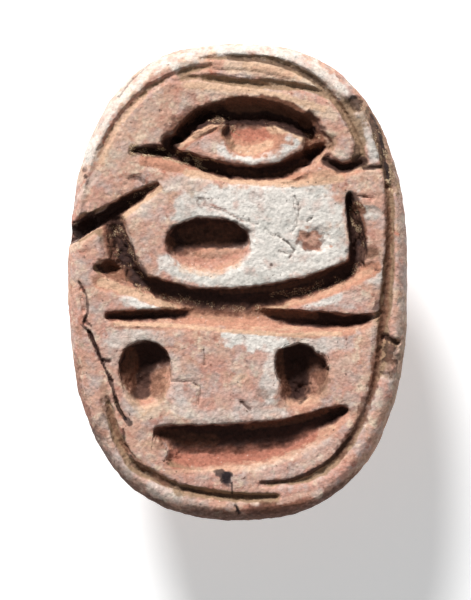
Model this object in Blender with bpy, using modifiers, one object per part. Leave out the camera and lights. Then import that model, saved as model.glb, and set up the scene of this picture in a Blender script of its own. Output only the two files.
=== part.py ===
"""Scarab amulet: one carved and pierced piece of glazed steatite, lying on its back with the carved face up.

Units are metres, +Z is up. The origin is on the surface that the amulet lies on, under the middle of its
outline. +Y runs towards the beetle's head, and the flat carved face looks up at z = HEIGHT. Places on the
face are shares of its half width (across) and half length (along), and the carving's reaches are shares of
the half width too, so that the carving follows the outline.
"""

import math
from typing import NamedTuple

import bmesh
import bpy
from mathutils import Matrix, Vector

# Driving dimensions
LENGTH = 0.0170
WIDTH = 0.0121
HEIGHT = 0.0074
PLATE_THICKNESS = 0.0019
RIM_ROUNDING = 0.0005
PLATE_FOOT_ROUNDING = 0.0003
OUTLINE_FULLNESS = 2.5
FLAT_SPOT_DEPTH = 0.00012

# The pierced hole that the cord or ring wire passes through
BORE_DIAMETER = 0.0016
BORE_COVER = 0.0002

# The carved face
CARVING_DEPTH = 0.0010
BORDER_DEPTH = 0.00022
BORDER_END = 0.12
CUTTER_RISE = 0.0003
CUTTER_RISE_STEP = 0.00002
LIP_RISE = 0.00001

# A groove's section: its walls bend at WALL_SHARE of their reach and WALL_FALL of the depth, and its floor
# spans FLOOR_SHARE of each reach
WALL_SHARE = 0.72
WALL_FALL = 0.50
FLOOR_SHARE = 0.22

# The beetle: its legs are rods that lie on the plate's ledge, and its lines are grooves in the back
LEG_DIAMETER = 0.0010
LINE_WIDTH = 0.00034
LINE_TAPER = 0.5
LEG_TAPER = 0.35
CLYPEUS_NOTCH_WIDTH = 0.0004

# How finely round shapes are faceted
OUTLINE_SIDES = 80
BACK_SIDES = 44
BACK_RINGS = 18
SMALL_SIDES = 16
SMALL_RINGS = 8
PIT_SIDES = 24
PIT_RINGS = 12
BORE_SIDES = 24
BORDER_STEP_DEGREES = 6
BACK_LINE_STEPS = 4
LEG_STEPS = 3

HALF_WIDTH = WIDTH / 2
HALF_LENGTH = LENGTH / 2
PLATE_FOOT = HEIGHT - PLATE_THICKNESS
BORE_HEIGHT = PLATE_FOOT - BORE_COVER - BORE_DIAMETER / 2

# The back is a fuller than round dome, from half way up the plate down past the floor. Its shares are of the
# plate's half width and half length.
BACK_WIDTH_SHARE = 0.87
BACK_LENGTH_SHARE = 0.81
BACK_SHIFT_SHARE = -0.11
BACK_FULLNESS = 2.4
BACK_TOP = HEIGHT - PLATE_THICKNESS / 2
BACK_DEPTH = BACK_TOP + FLAT_SPOT_DEPTH

# The head, its eyes, and the clypeus in front: middles and half sizes across, along and down, as shares of
# the plate's half width and half length and of the height under the plate
HEAD_PLACE = (0.0, 0.66, 0.02)
HEAD_SIZE = (0.50, 0.24, 0.50)
EYE_PLACE = (0.40, 0.68, 0.12)
EYE_SIZE = (0.13, 0.07, 0.16)
CLYPEUS_PLACE = (0.0, 0.82, -0.02)
CLYPEUS_SIZE = (0.36, 0.15, 0.24)
CLYPEUS_NOTCHES = (-0.29, -0.19, 0.19, 0.29)

STONE_COLOUR = (0.58, 0.41, 0.33, 1.0)
STONE_ROUGHNESS = 0.72


class Station(NamedTuple):
    """A place on a groove's deepest line: where it is, how far its walls reach to each side, and how deep."""

    across: float
    along: float
    left: float
    right: float
    depth: float


class Pit(NamedTuple):
    """A bowl cut in the face. Its deepest point leans to the head end by lean, and point narrows its foot."""

    across: float
    along: float
    half_width: float
    half_length: float
    depth: float
    lean: float
    point: float


class BorderLine(NamedTuple):
    """A stretch of the incised border: its bearings in degrees, its shares of the outline, and its reach."""

    start: float
    end: float
    start_share: float
    middle_share: float
    end_share: float
    reach: float


# The signs, each drawn along its deepest line, with its steep wall towards the head end
GROOVES = {
    "eye_brow": [
        Station(-0.40, 0.565, 0.015, 0.020, 0.25),
        Station(-0.28, 0.645, 0.060, 0.050, 0.60),
        Station(-0.16, 0.695, 0.070, 0.075, 0.75),
        Station(0.00, 0.715, 0.075, 0.085, 0.85),
        Station(0.15, 0.715, 0.065, 0.085, 0.85),
        Station(0.29, 0.690, 0.055, 0.070, 0.75),
        Station(0.40, 0.650, 0.045, 0.055, 0.60),
        Station(0.455, 0.590, 0.030, 0.030, 0.40),
    ],
    "eye_lower_lid": [
        Station(-0.63, 0.545, 0.015, 0.015, 0.20),
        Station(-0.53, 0.550, 0.035, 0.030, 0.55),
        Station(-0.40, 0.540, 0.040, 0.040, 0.65),
        Station(-0.25, 0.510, 0.035, 0.055, 0.65),
        Station(-0.09, 0.480, 0.030, 0.075, 0.65),
        Station(0.08, 0.465, 0.035, 0.085, 0.70),
        Station(0.23, 0.470, 0.040, 0.085, 0.70),
        Station(0.36, 0.505, 0.050, 0.080, 0.70),
        Station(0.46, 0.550, 0.045, 0.050, 0.60),
        Station(0.51, 0.570, 0.020, 0.020, 0.35),
    ],
    "eye_tail": [
        Station(0.50, 0.615, 0.010, 0.010, 0.08),
        Station(0.54, 0.570, 0.030, 0.030, 0.16),
        Station(0.53, 0.520, 0.025, 0.030, 0.18),
    ],
    "eye_tail_nick": [
        Station(0.50, 0.515, 0.015, 0.010, 0.20),
        Station(0.60, 0.480, 0.025, 0.025, 0.35),
        Station(0.67, 0.485, 0.022, 0.025, 0.30),
        Station(0.75, 0.505, 0.008, 0.008, 0.15),
    ],
    "edge_slit": [
        Station(-1.12, 0.165, 0.050, 0.060, 0.85),
        Station(-0.97, 0.210, 0.050, 0.060, 0.80),
        Station(-0.85, 0.255, 0.050, 0.055, 0.75),
        Station(-0.72, 0.305, 0.045, 0.055, 0.65),
        Station(-0.58, 0.365, 0.040, 0.045, 0.50),
        Station(-0.46, 0.415, 0.015, 0.020, 0.20),
    ],
    "left_channel": [
        Station(-0.725, 0.275, 0.065, 0.060, 0.45),
        Station(-0.700, 0.195, 0.070, 0.075, 0.50),
        Station(-0.665, 0.115, 0.065, 0.085, 0.55),
        Station(-0.620, 0.040, 0.055, 0.080, 0.60),
        Station(-0.550, -0.005, 0.040, 0.060, 0.60),
    ],
    "left_channel_nick": [
        Station(-0.850, 0.060, 0.020, 0.020, 0.30),
        Station(-0.770, 0.060, 0.045, 0.050, 0.45),
        Station(-0.660, 0.040, 0.050, 0.050, 0.50),
    ],
    "bowl": [
        Station(-0.63, 0.025, 0.030, 0.060, 0.45),
        Station(-0.46, -0.020, 0.050, 0.085, 0.70),
        Station(-0.31, -0.055, 0.060, 0.095, 0.80),
        Station(-0.15, -0.070, 0.065, 0.100, 0.85),
        Station(0.02, -0.065, 0.065, 0.100, 0.85),
        Station(0.19, -0.045, 0.060, 0.095, 0.80),
        Station(0.37, -0.015, 0.050, 0.085, 0.75),
        Station(0.52, 0.025, 0.045, 0.085, 0.70),
        Station(0.65, 0.065, 0.040, 0.085, 0.65),
        Station(0.73, 0.095, 0.030, 0.060, 0.35),
    ],
    "right_channel": [
        Station(0.655, 0.375, 0.015, 0.020, 0.30),
        Station(0.660, 0.315, 0.035, 0.030, 0.55),
        Station(0.685, 0.230, 0.050, 0.050, 0.60),
        Station(0.705, 0.150, 0.055, 0.060, 0.65),
        Station(0.690, 0.070, 0.045, 0.050, 0.60),
    ],
    "long_bar": [
        Station(-0.785, -0.140, 0.020, 0.025, 0.30),
        Station(-0.680, -0.138, 0.028, 0.060, 0.45),
        Station(-0.510, -0.135, 0.035, 0.070, 0.50),
        Station(-0.340, -0.130, 0.040, 0.080, 0.50),
        Station(-0.130, -0.125, 0.060, 0.085, 0.55),
        Station(0.070, -0.130, 0.050, 0.085, 0.60),
        Station(0.250, -0.145, 0.045, 0.075, 0.65),
        Station(0.420, -0.150, 0.045, 0.070, 0.65),
        Station(0.630, -0.158, 0.035, 0.060, 0.55),
        Station(0.770, -0.150, 0.020, 0.030, 0.40),
        Station(0.860, -0.125, 0.015, 0.015, 0.20),
    ],
    "crescent": [
        Station(-0.500, -0.640, 0.060, 0.100, 0.35),
        Station(-0.400, -0.645, 0.075, 0.180, 0.75),
        Station(-0.220, -0.650, 0.080, 0.190, 0.90),
        Station(0.010, -0.645, 0.085, 0.190, 0.95),
        Station(0.230, -0.625, 0.075, 0.160, 0.90),
        Station(0.420, -0.590, 0.065, 0.120, 0.80),
        Station(0.560, -0.550, 0.050, 0.070, 0.60),
        Station(0.650, -0.525, 0.025, 0.030, 0.35),
    ],
}

PITS = {
    "iris": Pit(0.070, 0.610, 0.165, 0.110, 0.55, 0.35, 0.0),
    "large_pit": Pit(-0.180, 0.155, 0.255, 0.122, 1.00, 0.30, 0.0),
    "left_pit": Pit(-0.545, -0.385, 0.158, 0.145, 0.85, 0.30, 0.15),
    "right_pit": Pit(0.375, -0.375, 0.165, 0.135, 0.95, 0.30, 0.25),
}

BORDER_LINES = {
    "upper_left": BorderLine(168, 99, 0.930, 0.905, 0.905, 0.036),
    "top_inner": BorderLine(116, 49, 0.885, 0.828, 0.890, 0.030),
    "top_outer": BorderLine(104, 36, 0.940, 0.925, 0.850, 0.030),
    "right": BorderLine(25, -36, 0.930, 0.868, 0.868, 0.036),
    "lower_right": BorderLine(-34, -82, 0.868, 0.880, 0.845, 0.036),
    "foot": BorderLine(-128, -72, 0.890, 0.890, 0.910, 0.028),
    "lower_left": BorderLine(-149, -112, 0.850, 0.918, 0.885, 0.036),
    "left_crack": BorderLine(181, 222, 0.925, 0.850, 0.815, 0.018),
}

# The legs' middle lines, for the right side: across, along, and share of the way down from the plate's foot
LEGS = {
    "fore_leg": [(0.70, 0.22, 0.36), (0.80, 0.46, 0.16), (0.66, 0.72, 0.02), (0.40, 0.88, 0.00)],
    "mid_leg": [(0.74, 0.24, 0.40), (0.87, 0.02, 0.14), (0.89, -0.20, 0.02), (0.83, -0.36, 0.00)],
    "hind_leg": [(0.72, -0.04, 0.44), (0.82, -0.30, 0.22), (0.70, -0.62, 0.08), (0.36, -0.87, 0.02)],
}

# The lines cut in the back, as shares across and along the dome
BACK_LINES = {
    "wing_case_seam": [(0.0, 0.18), (0.0, -0.96)],
    "thorax_line": [(-0.94, 0.16), (-0.5, 0.21), (0.0, 0.18), (0.5, 0.21), (0.94, 0.16)],
    "left_shoulder": [(-0.62, 0.20), (-0.54, 0.05), (-0.42, 0.20)],
    "right_shoulder": [(0.62, 0.20), (0.54, 0.05), (0.42, 0.20)],
}


def outline_reach(angle, half_width, half_length, fullness):
    """Distance from the middle to a rounded oblong outline, in the direction of angle."""
    share = abs(math.cos(angle) / half_width) ** fullness + abs(math.sin(angle) / half_length) ** fullness
    return share ** (-1 / fullness)


def on_face(across, along):
    """A place on the carved face from its shares of the half width and half length."""
    return Vector((across * HALF_WIDTH, along * HALF_LENGTH, HEIGHT))


def on_border(degrees, share):
    """A place on the carved face on a smaller copy of the outline, in the direction of degrees."""
    angle = math.radians(degrees)
    reach = share * outline_reach(angle, 1.0, 1.0, OUTLINE_FULLNESS)
    return reach * math.cos(angle), reach * math.sin(angle)


def between(first, second, third, fourth, t):
    """A value on the smooth curve through second and third, at t from 0 to 1 between them."""
    return 0.5 * (
        2 * second
        + (third - first) * t
        + (2 * first - 5 * second + 4 * third - fourth) * t**2
        + (3 * second - first - 3 * third + fourth) * t**3
    )


def smoothed(rows, steps):
    """Rows of numbers with steps - 1 more rows between each two, on a smooth curve through them."""
    last = len(rows) - 1
    smooth = []
    for i in range(last):
        near = [rows[max(0, min(last, i + k))] for k in (-1, 0, 1, 2)]
        smooth += [tuple(between(*column, k / steps) for column in zip(*near)) for k in range(steps)]
    return smooth + [tuple(rows[-1])]


def keep(obj, collection, is_tool):
    """Puts the object in one collection only. A tool is a cutter or a shape that is joined to the body."""
    for other in obj.users_collection:
        other.objects.unlink(obj)
    collection.objects.link(obj)
    obj.hide_render = is_tool
    obj.display_type = "WIRE" if is_tool else "TEXTURED"
    return obj


def mesh_object(name, mesh_builder, collection, is_tool=True):
    """A new object from a bmesh, with its faces turned outwards."""
    bmesh.ops.recalc_face_normals(mesh_builder, faces=mesh_builder.faces)
    mesh = bpy.data.meshes.new(name)
    mesh_builder.to_mesh(mesh)
    mesh_builder.free()
    obj = bpy.data.objects.new(name, mesh)
    return keep(obj, collection, is_tool)


def loft(name, rings, collection):
    """A closed solid through rings of equally many points, with flat ends."""
    builder = bmesh.new()
    loops = [[builder.verts.new(point) for point in ring] for ring in rings]
    for one, other in zip(loops, loops[1:]):
        for i in range(len(one)):
            builder.faces.new((one[i - 1], one[i], other[i], other[i - 1]))
    builder.faces.new(loops[0][::-1])
    builder.faces.new(loops[-1])
    return mesh_object(name, builder, collection)


def groove(name, stations, collection, rise, unit_depth=CARVING_DEPTH, steps=2):
    """A cutter for a groove: a trough lofted along the stations, with a mouth that stands above the face."""
    rings = []
    line = smoothed(stations, steps)
    middles = [on_face(row[0], row[1]) for row in line]
    for i, (_, _, left, right, depth) in enumerate(line):
        ahead = middles[min(i + 1, len(line) - 1)] - middles[max(i - 1, 0)]
        aside = Vector((-ahead.y, ahead.x, 0.0)).normalized()
        fall = depth * unit_depth
        section = [
            (left, rise),
            (left, LIP_RISE),
            (WALL_SHARE * left, -WALL_FALL * fall),
            (FLOOR_SHARE * left, -fall),
            (-FLOOR_SHARE * right, -fall),
            (-WALL_SHARE * right, -WALL_FALL * fall),
            (-right, LIP_RISE),
            (-right, rise),
        ]
        across = aside * HALF_WIDTH
        rings.append([middles[i] + across * reach + Vector((0, 0, level)) for reach, level in section])
    return loft(name, rings, collection)


def border_groove(name, line, collection, rise):
    """A cutter for a stretch of the border, as a shallow groove along a smaller copy of the outline."""
    steps_to_middle = max(2, round(abs(line.end - line.start) / 2 / BORDER_STEP_DEGREES))
    shares = smoothed([(line.start_share,), (line.middle_share,), (line.end_share,)], steps_to_middle)
    stations = []
    for i, (share,) in enumerate(shares):
        t = i / (len(shares) - 1)
        fade = math.sqrt(math.sin(math.pi * (BORDER_END + (1 - 2 * BORDER_END) * t)))
        across, along = on_border(line.start + (line.end - line.start) * t, share)
        stations.append(Station(across, along, line.reach * fade, line.reach * fade, fade))
    return groove(name, stations, collection, rise, BORDER_DEPTH, 1)


def ball(name, collection, segments=SMALL_SIDES, rings=SMALL_RINGS):
    """A sphere primitive of radius 1 at the origin, to be shaped."""
    builder = bmesh.new()
    bmesh.ops.create_uvsphere(builder, u_segments=segments, v_segments=rings, radius=1.0)
    return mesh_object(name, builder, collection)


def shape(obj, move):
    """Moves each vertex of the object to where move sends it."""
    for vertex in obj.data.vertices:
        vertex.co = move(vertex.co)
    return obj


def pit_cutter(name, pit, collection):
    """A cutter for a pit: a ball drawn out to the pit's plan and depth, leaning to its steep wall."""
    middle = on_face(pit.across, pit.along)
    lift = CUTTER_RISE / 6

    def move(point):
        narrow = 1 + pit.point * point.y
        lean = pit.lean * max(0.0, -point.z)
        return Vector(
            (
                middle.x + point.x * narrow * pit.half_width * HALF_WIDTH,
                middle.y + (point.y * (1 - lean) + lean) * pit.half_length * HALF_LENGTH,
                middle.z + lift + point.z * (pit.depth * CARVING_DEPTH + lift),
            )
        )

    return shape(ball(name, collection, PIT_SIDES, PIT_RINGS), move)


def plate(collection):
    """The flat plate under the beetle, whose outer side is the carved face."""
    builder = bmesh.new()
    bmesh.ops.create_cone(
        builder, cap_ends=True, segments=OUTLINE_SIDES, radius1=1.0, radius2=1.0, depth=PLATE_THICKNESS
    )
    body = mesh_object("scarab", builder, collection, is_tool=False)

    def move(point):
        angle = math.atan2(point.y, point.x)
        reach = outline_reach(angle, HALF_WIDTH, HALF_LENGTH, OUTLINE_FULLNESS)
        middle = HEIGHT - PLATE_THICKNESS / 2
        return Vector((reach * math.cos(angle), reach * math.sin(angle), point.z + middle))

    shape(body, move)
    round_rim(body, "rim_rounding", RIM_ROUNDING, 4, above=True)
    round_rim(body, "plate_foot_rounding", PLATE_FOOT_ROUNDING, 2, above=False)
    return body


def round_rim(body, name, width, segments, above):
    """A Bevel on the plate's upper or lower rim only, by a vertex group."""
    group = body.vertex_groups.new(name=name)
    middle = HEIGHT - PLATE_THICKNESS / 2
    group.add([v.index for v in body.data.vertices if (v.co.z > middle) == above], 1.0, "REPLACE")
    bevel = body.modifiers.new(name, "BEVEL")
    bevel.width = width
    bevel.segments = segments
    bevel.limit_method = "VGROUP"
    bevel.vertex_group = name


def back_surface(across, along):
    """The place on the dome's surface at shares of the dome's own half width and half length."""
    share = abs(across) ** OUTLINE_FULLNESS + abs(along) ** OUTLINE_FULLNESS
    level = min(1.0, share ** (1 / OUTLINE_FULLNESS))
    fall = (1 - level**BACK_FULLNESS) ** (1 / BACK_FULLNESS)
    return Vector(
        (
            across * BACK_WIDTH_SHARE * HALF_WIDTH,
            (along * BACK_LENGTH_SHARE + BACK_SHIFT_SHARE) * HALF_LENGTH,
            BACK_TOP - BACK_DEPTH * fall,
        )
    )


def back(collection):
    """The beetle's thorax and wing cases: a full dome that is cut flat where it lies on the floor. Its facets
    are turned half a side, so that none of its corners lies on the middle line that the seam is cut along."""
    dome = ball("back", collection, BACK_SIDES, BACK_RINGS)

    def move(point):
        angle = math.atan2(point.y, point.x) + math.pi / BACK_SIDES
        level = (1 - min(1.0, abs(point.z)) ** BACK_FULLNESS) ** (1 / BACK_FULLNESS)
        reach = level * outline_reach(angle, 1.0, 1.0, OUTLINE_FULLNESS)
        place = back_surface(reach * math.cos(angle), reach * math.sin(angle))
        below = point.z <= 0
        place.z = BACK_TOP + point.z * (BACK_DEPTH if below else PLATE_THICKNESS / 4)
        return place

    shape(dome, move)
    builder = bmesh.new()
    builder.from_mesh(dome.data)
    cut = bmesh.ops.bisect_plane(
        builder,
        geom=builder.verts[:] + builder.edges[:] + builder.faces[:],
        plane_co=(0, 0, 0),
        plane_no=(0, 0, -1),
        clear_outer=True,
    )
    rim = [item for item in cut["geom_cut"] if isinstance(item, bmesh.types.BMEdge)]
    bmesh.ops.contextual_create(builder, geom=rim)
    bmesh.ops.recalc_face_normals(builder, faces=builder.faces)
    builder.to_mesh(dome.data)
    builder.free()
    return dome


def lump(name, place, size, collection, sides=20, rings=10):
    """A ball that hangs from the plate, stretched to the half sizes. Its top stays in the plate."""
    middle = Vector((place[0] * HALF_WIDTH, place[1] * HALF_LENGTH, PLATE_FOOT * (1 - place[2])))
    half = Vector((size[0] * HALF_WIDTH, size[1] * HALF_LENGTH, size[2] * PLATE_FOOT))
    height_above = min(half.z, PLATE_FOOT + PLATE_THICKNESS / 3 - middle.z)

    def move(point):
        stretched = point * half
        if point.z > 0:
            stretched.z = point.z * height_above
        return middle + stretched

    return shape(ball(name, collection, sides, rings), move)


def head(collection):
    """The head with its eyes, and the flat clypeus in front of it."""
    lump("head", HEAD_PLACE, HEAD_SIZE, collection)
    lump("clypeus", CLYPEUS_PLACE, CLYPEUS_SIZE, collection)
    for side in (-1, 1):
        lump(f"eye_{side}", (side * EYE_PLACE[0], *EYE_PLACE[1:]), EYE_SIZE, collection, 12, 6)


def rod(name, points, diameter, collection, taper):
    """A rod through the points, thinner at its ends by taper: a curve with a round bevel, made a mesh."""
    curve = bpy.data.curves.new(name, "CURVE")
    curve.dimensions = "3D"
    curve.bevel_depth = diameter / 2
    curve.bevel_resolution = 2
    curve.use_fill_caps = True
    spline = curve.splines.new("POLY")
    spline.points.add(len(points) - 1)
    for i, point in enumerate(points):
        t = i / (len(points) - 1)
        spline.points[i].co = (*point, 1.0)
        spline.points[i].radius = 1 - taper * (2 * t - 1) ** 2
    guide = bpy.data.objects.new(name + "_guide", curve)
    bpy.context.scene.collection.objects.link(guide)
    bpy.context.view_layer.update()
    evaluated = guide.evaluated_get(bpy.context.evaluated_depsgraph_get())
    builder = bmesh.new()
    mesh = bpy.data.meshes.new_from_object(evaluated)
    builder.from_mesh(mesh)
    bmesh.ops.remove_doubles(builder, verts=builder.verts, dist=diameter / 1000)
    bpy.data.meshes.remove(mesh)
    bpy.data.objects.remove(guide)
    return mesh_object(name, builder, collection)


def legs(collection):
    """Three legs on each side, lying on the ledge between the plate and the back."""
    for name, places in LEGS.items():
        for side in (-1, 1):
            points = [
                (
                    side * across * HALF_WIDTH,
                    along * HALF_LENGTH,
                    PLATE_FOOT * (1 - down) - LEG_DIAMETER / 4,
                )
                for across, along, down in smoothed(places, LEG_STEPS)
            ]
            rod(f"{name}_{side}", points, LEG_DIAMETER, collection, LEG_TAPER)


def back_lines(collection):
    """Cutters for the lines between thorax and wing cases, and for the shoulder marks."""
    for name, places in BACK_LINES.items():
        points = [back_surface(*place) for place in smoothed(places, BACK_LINE_STEPS)]
        rod(name, points, LINE_WIDTH, collection, LINE_TAPER)


def clypeus_notches(collection):
    """Cutters for the notches in the clypeus's front edge, from just under the plate down past its foot."""
    for i, across in enumerate(CLYPEUS_NOTCHES):
        front = CLYPEUS_SIZE[1] * math.sqrt(1 - (across / CLYPEUS_SIZE[0]) ** 2)
        top = on_face(across, CLYPEUS_PLACE[1] + 0.93 * front)
        top.z = PLATE_FOOT - CLYPEUS_NOTCH_WIDTH / 5
        foot = Vector((top.x, top.y, PLATE_FOOT * (1 - 1.5 * CLYPEUS_SIZE[2])))
        rod(f"clypeus_notch_{i}", [top, (top + foot) / 2, foot], CLYPEUS_NOTCH_WIDTH, collection, 0.0)


def bore(collection):
    """The cutter for the hole along the amulet, from head to tail."""
    builder = bmesh.new()
    bmesh.ops.create_cone(
        builder,
        cap_ends=True,
        segments=BORE_SIDES,
        radius1=BORE_DIAMETER / 2,
        radius2=BORE_DIAMETER / 2,
        depth=LENGTH + 4 * BORE_DIAMETER,
        matrix=Matrix.Translation((0, 0, BORE_HEIGHT)) @ Matrix.Rotation(math.pi / 2, 4, "X"),
    )
    return mesh_object("bore", builder, collection)


def boolean(body, name, operation, collection):
    """Joins to the body, or cuts from it, all that is in the collection."""
    modifier = body.modifiers.new(name, "BOOLEAN")
    modifier.operation = operation
    modifier.operand_type = "COLLECTION"
    modifier.collection = collection
    modifier.solver = "EXACT"


def stone():
    """The pale pink, worn steatite."""
    material = bpy.data.materials.new("glazed_steatite")
    material.use_nodes = True
    shader = material.node_tree.nodes["Principled BSDF"]
    shader.inputs["Base Color"].default_value = STONE_COLOUR
    shader.inputs["Roughness"].default_value = STONE_ROUGHNESS
    shader.inputs["Metallic"].default_value = 0.0
    return material


def main():
    """Builds the amulet."""
    for obj in list(bpy.data.objects):
        bpy.data.objects.remove(obj)
    amulet = bpy.data.collections.new("scarab_amulet")
    beetle = bpy.data.collections.new("beetle_shapes")
    beetle_cutters = bpy.data.collections.new("beetle_cutters")
    pit_cutters = bpy.data.collections.new("pit_cutters")
    groove_cutters = bpy.data.collections.new("groove_cutters")
    border_cutters = bpy.data.collections.new("border_cutters")
    for collection in (amulet, beetle, beetle_cutters, pit_cutters, groove_cutters, border_cutters):
        bpy.context.scene.collection.children.link(collection)

    scarab = plate(amulet)
    scarab.data.materials.append(stone())

    for name, pit in PITS.items():
        pit_cutter(name, pit, pit_cutters)
    boolean(scarab, "cut_pits", "DIFFERENCE", pit_cutters)

    for i, (name, stations) in enumerate(GROOVES.items()):
        groove(name, stations, groove_cutters, CUTTER_RISE + i * CUTTER_RISE_STEP)
    boolean(scarab, "cut_grooves", "DIFFERENCE", groove_cutters)

    for i, (name, line) in enumerate(BORDER_LINES.items()):
        border_groove("border_" + name, line, border_cutters, CUTTER_RISE + i * CUTTER_RISE_STEP)
    boolean(scarab, "cut_border", "DIFFERENCE", border_cutters)

    back(beetle)
    head(beetle)
    legs(beetle)
    boolean(scarab, "join_beetle", "UNION", beetle)

    bore(beetle_cutters)
    back_lines(beetle_cutters)
    clypeus_notches(beetle_cutters)
    boolean(scarab, "cut_beetle_lines", "DIFFERENCE", beetle_cutters)


main()
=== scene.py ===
"""The looks of a carved and pierced scarab amulet that lies on its back, for the photograph's view.

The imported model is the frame: metres, +Z up, +Y to the top of the photograph. Places on the carved face are
in percent of its half width (across) and half length (along), and reaches in percent of the half width.
Reliefs and the sizes of grains are in millimetres.
"""

import logging
import math
from dataclasses import dataclass
from enum import Enum

import bpy
import numpy as np
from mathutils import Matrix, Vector, noise
from mathutils.bvhtree import BVHTree


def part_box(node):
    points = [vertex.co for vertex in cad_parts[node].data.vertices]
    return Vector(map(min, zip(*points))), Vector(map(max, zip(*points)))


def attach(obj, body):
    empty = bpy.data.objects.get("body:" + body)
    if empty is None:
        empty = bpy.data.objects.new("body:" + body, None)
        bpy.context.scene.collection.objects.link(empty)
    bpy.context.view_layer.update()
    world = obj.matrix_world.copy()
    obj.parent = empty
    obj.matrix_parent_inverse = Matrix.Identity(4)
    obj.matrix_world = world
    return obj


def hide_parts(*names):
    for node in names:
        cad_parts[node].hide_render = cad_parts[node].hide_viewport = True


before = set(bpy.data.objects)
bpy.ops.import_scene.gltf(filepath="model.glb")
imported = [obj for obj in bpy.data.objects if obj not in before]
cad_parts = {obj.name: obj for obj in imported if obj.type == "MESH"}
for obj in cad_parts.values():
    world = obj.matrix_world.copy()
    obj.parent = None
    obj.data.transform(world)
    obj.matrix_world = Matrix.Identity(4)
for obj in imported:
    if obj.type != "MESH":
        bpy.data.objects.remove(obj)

logging.basicConfig(level=logging.INFO, format="%(message)s")
LOG = logging.getLogger("scarab")

MM = 0.001
PERCENT = 100
NODE = "scarab"
TOWARDS_LIGHT = (-0.38, 0.92)
NOISE_SEED = 7

# Where a step starts and where it is done. The first may be the higher one, and then the step falls.
Span = tuple[float, float]


class Layer(Enum):
    """What is painted on the stone, each as a vertex attribute from 0 to 1: its own colours and soil, and
    painted light and shade.
    """

    CREAM = "cream"
    GLAZE = "glaze"
    GREY = "grey"
    # Bare ochre stone in the cuts, and painted light on the cut walls and ledges that face the light
    OCHRE_AND_LIGHT = "ochre_and_light"
    # A light tan, mostly a painted highlight on the cut lips and ledges that face the light
    TAN = "tan_and_highlight"
    # Brown soil, and painted shade: a soft fringe round the shadows in the cuts and the rim edges that turn
    # from the light
    UMBER_AND_SHADE = "umber_and_shade"
    RED = "red"
    KHAKI = "khaki"
    # Dark soil in the cuts and cracks, and painted shade where cut walls and floors lie in shadow
    GRIME_AND_SHADE = "grime_and_shade"
    DUST = "dust"
    GRIT = "grit"
    STAIN = "stain"


class Tone(Enum):
    """The colours of the stone, of what is on it and of the painted light and shade, as sRGB in 0 to 255."""

    PINK = (203, 160, 140)
    ROSE = (199, 149, 133)
    MAUVE = (196, 170, 160)
    BUFF = (205, 170, 142)
    CREAM = (222, 196, 172)
    GLAZE = (230, 222, 213)
    GREY = (184, 182, 174)
    # Bare ochre stone, and painted light on walls that face the light
    OCHRE_AND_LIGHT = (192, 138, 114)
    # Light tan, mostly a painted highlight
    TAN = (216, 178, 148)
    # Brown soil, and painted shade
    UMBER_AND_SHADE = (104, 66, 54)
    RED = (172, 106, 88)
    KHAKI = (150, 122, 96)
    # Dark soil, and painted shade
    GRIME_AND_SHADE = (64, 43, 38)
    DUST = (120, 80, 62)
    GRIT = (196, 172, 140)
    STAIN = (44, 36, 38)
    FLECK = (96, 76, 64)
    PALE = (236, 218, 204)

    def linear(self) -> tuple[float, float, float, float]:
        """Gives the colour as a shader takes it.

        Returns:
            Red, green, blue and alpha, linear, from 0 to 1.
        """
        shares = [value / 255 for value in self.value]
        red, green, blue = [s / 12.92 if s <= 0.04045 else ((s + 0.055) / 1.055) ** 2.4 for s in shares]
        return (red, green, blue, 1.0)


def step(low: float, high: float, values: np.ndarray) -> np.ndarray:
    """Smooth step.

    Args:
        low: Where it starts to rise from 0.
        high: Where it reaches 1. It may be lower than low, and then the step falls.
        values: The values to step over.

    Returns:
        The step at each value, from 0 to 1.
    """
    share = np.clip((values - low) / (high - low), 0.0, 1.0)
    return share * share * (3 - 2 * share)


def grain(points: np.ndarray, size_mm: float, seed: float) -> np.ndarray:
    """Noise whose lumps are about size_mm across.

    Args:
        points: Places in metres, one row each.
        size_mm: How large the lumps are, in millimetres.
        seed: Moves the noise, so that each use gets its own.

    Returns:
        A value per place, about -1 to 1.
    """
    scaled = points / (size_mm * MM) + seed * 17.3
    return np.array([noise.noise(place) for place in scaled.tolist()])


def drift(points: np.ndarray, size_mm: float, seed: float) -> np.ndarray:
    """Noise with a direction.

    Args:
        points: Places in metres, one row each.
        size_mm: How large the lumps are, in millimetres.
        seed: Moves the noise, so that each use gets its own.

    Returns:
        A vector per place, each part about -1 to 1.
    """
    scaled = points / (size_mm * MM) + seed * 17.3
    return np.array([noise.noise_vector(place) for place in scaled.tolist()])


def smoothed(piece: bpy.types.Object, points: np.ndarray, rounds: int = 14) -> np.ndarray:
    """Where the vertices would be if each moved to the middle of its neighbours, several times over.

    Args:
        piece: The piece, for its edges.
        points: The vertices' places, one row each.
        rounds: How often they move.

    Returns:
        The places after that.
    """
    edges = np.empty(len(piece.data.edges) * 2, dtype=int)
    piece.data.edges.foreach_get("vertices", edges)
    one, other = edges.reshape(-1, 2).T
    neighbours = np.bincount(edges, minlength=len(points))[:, None]
    for _ in range(rounds):
        columns = []
        for place in points.T:
            total = np.bincount(one, place[other], len(points)) + np.bincount(other, place[one], len(points))
            columns.append(total)
        points = np.column_stack(columns) / neighbours
    return points


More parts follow.
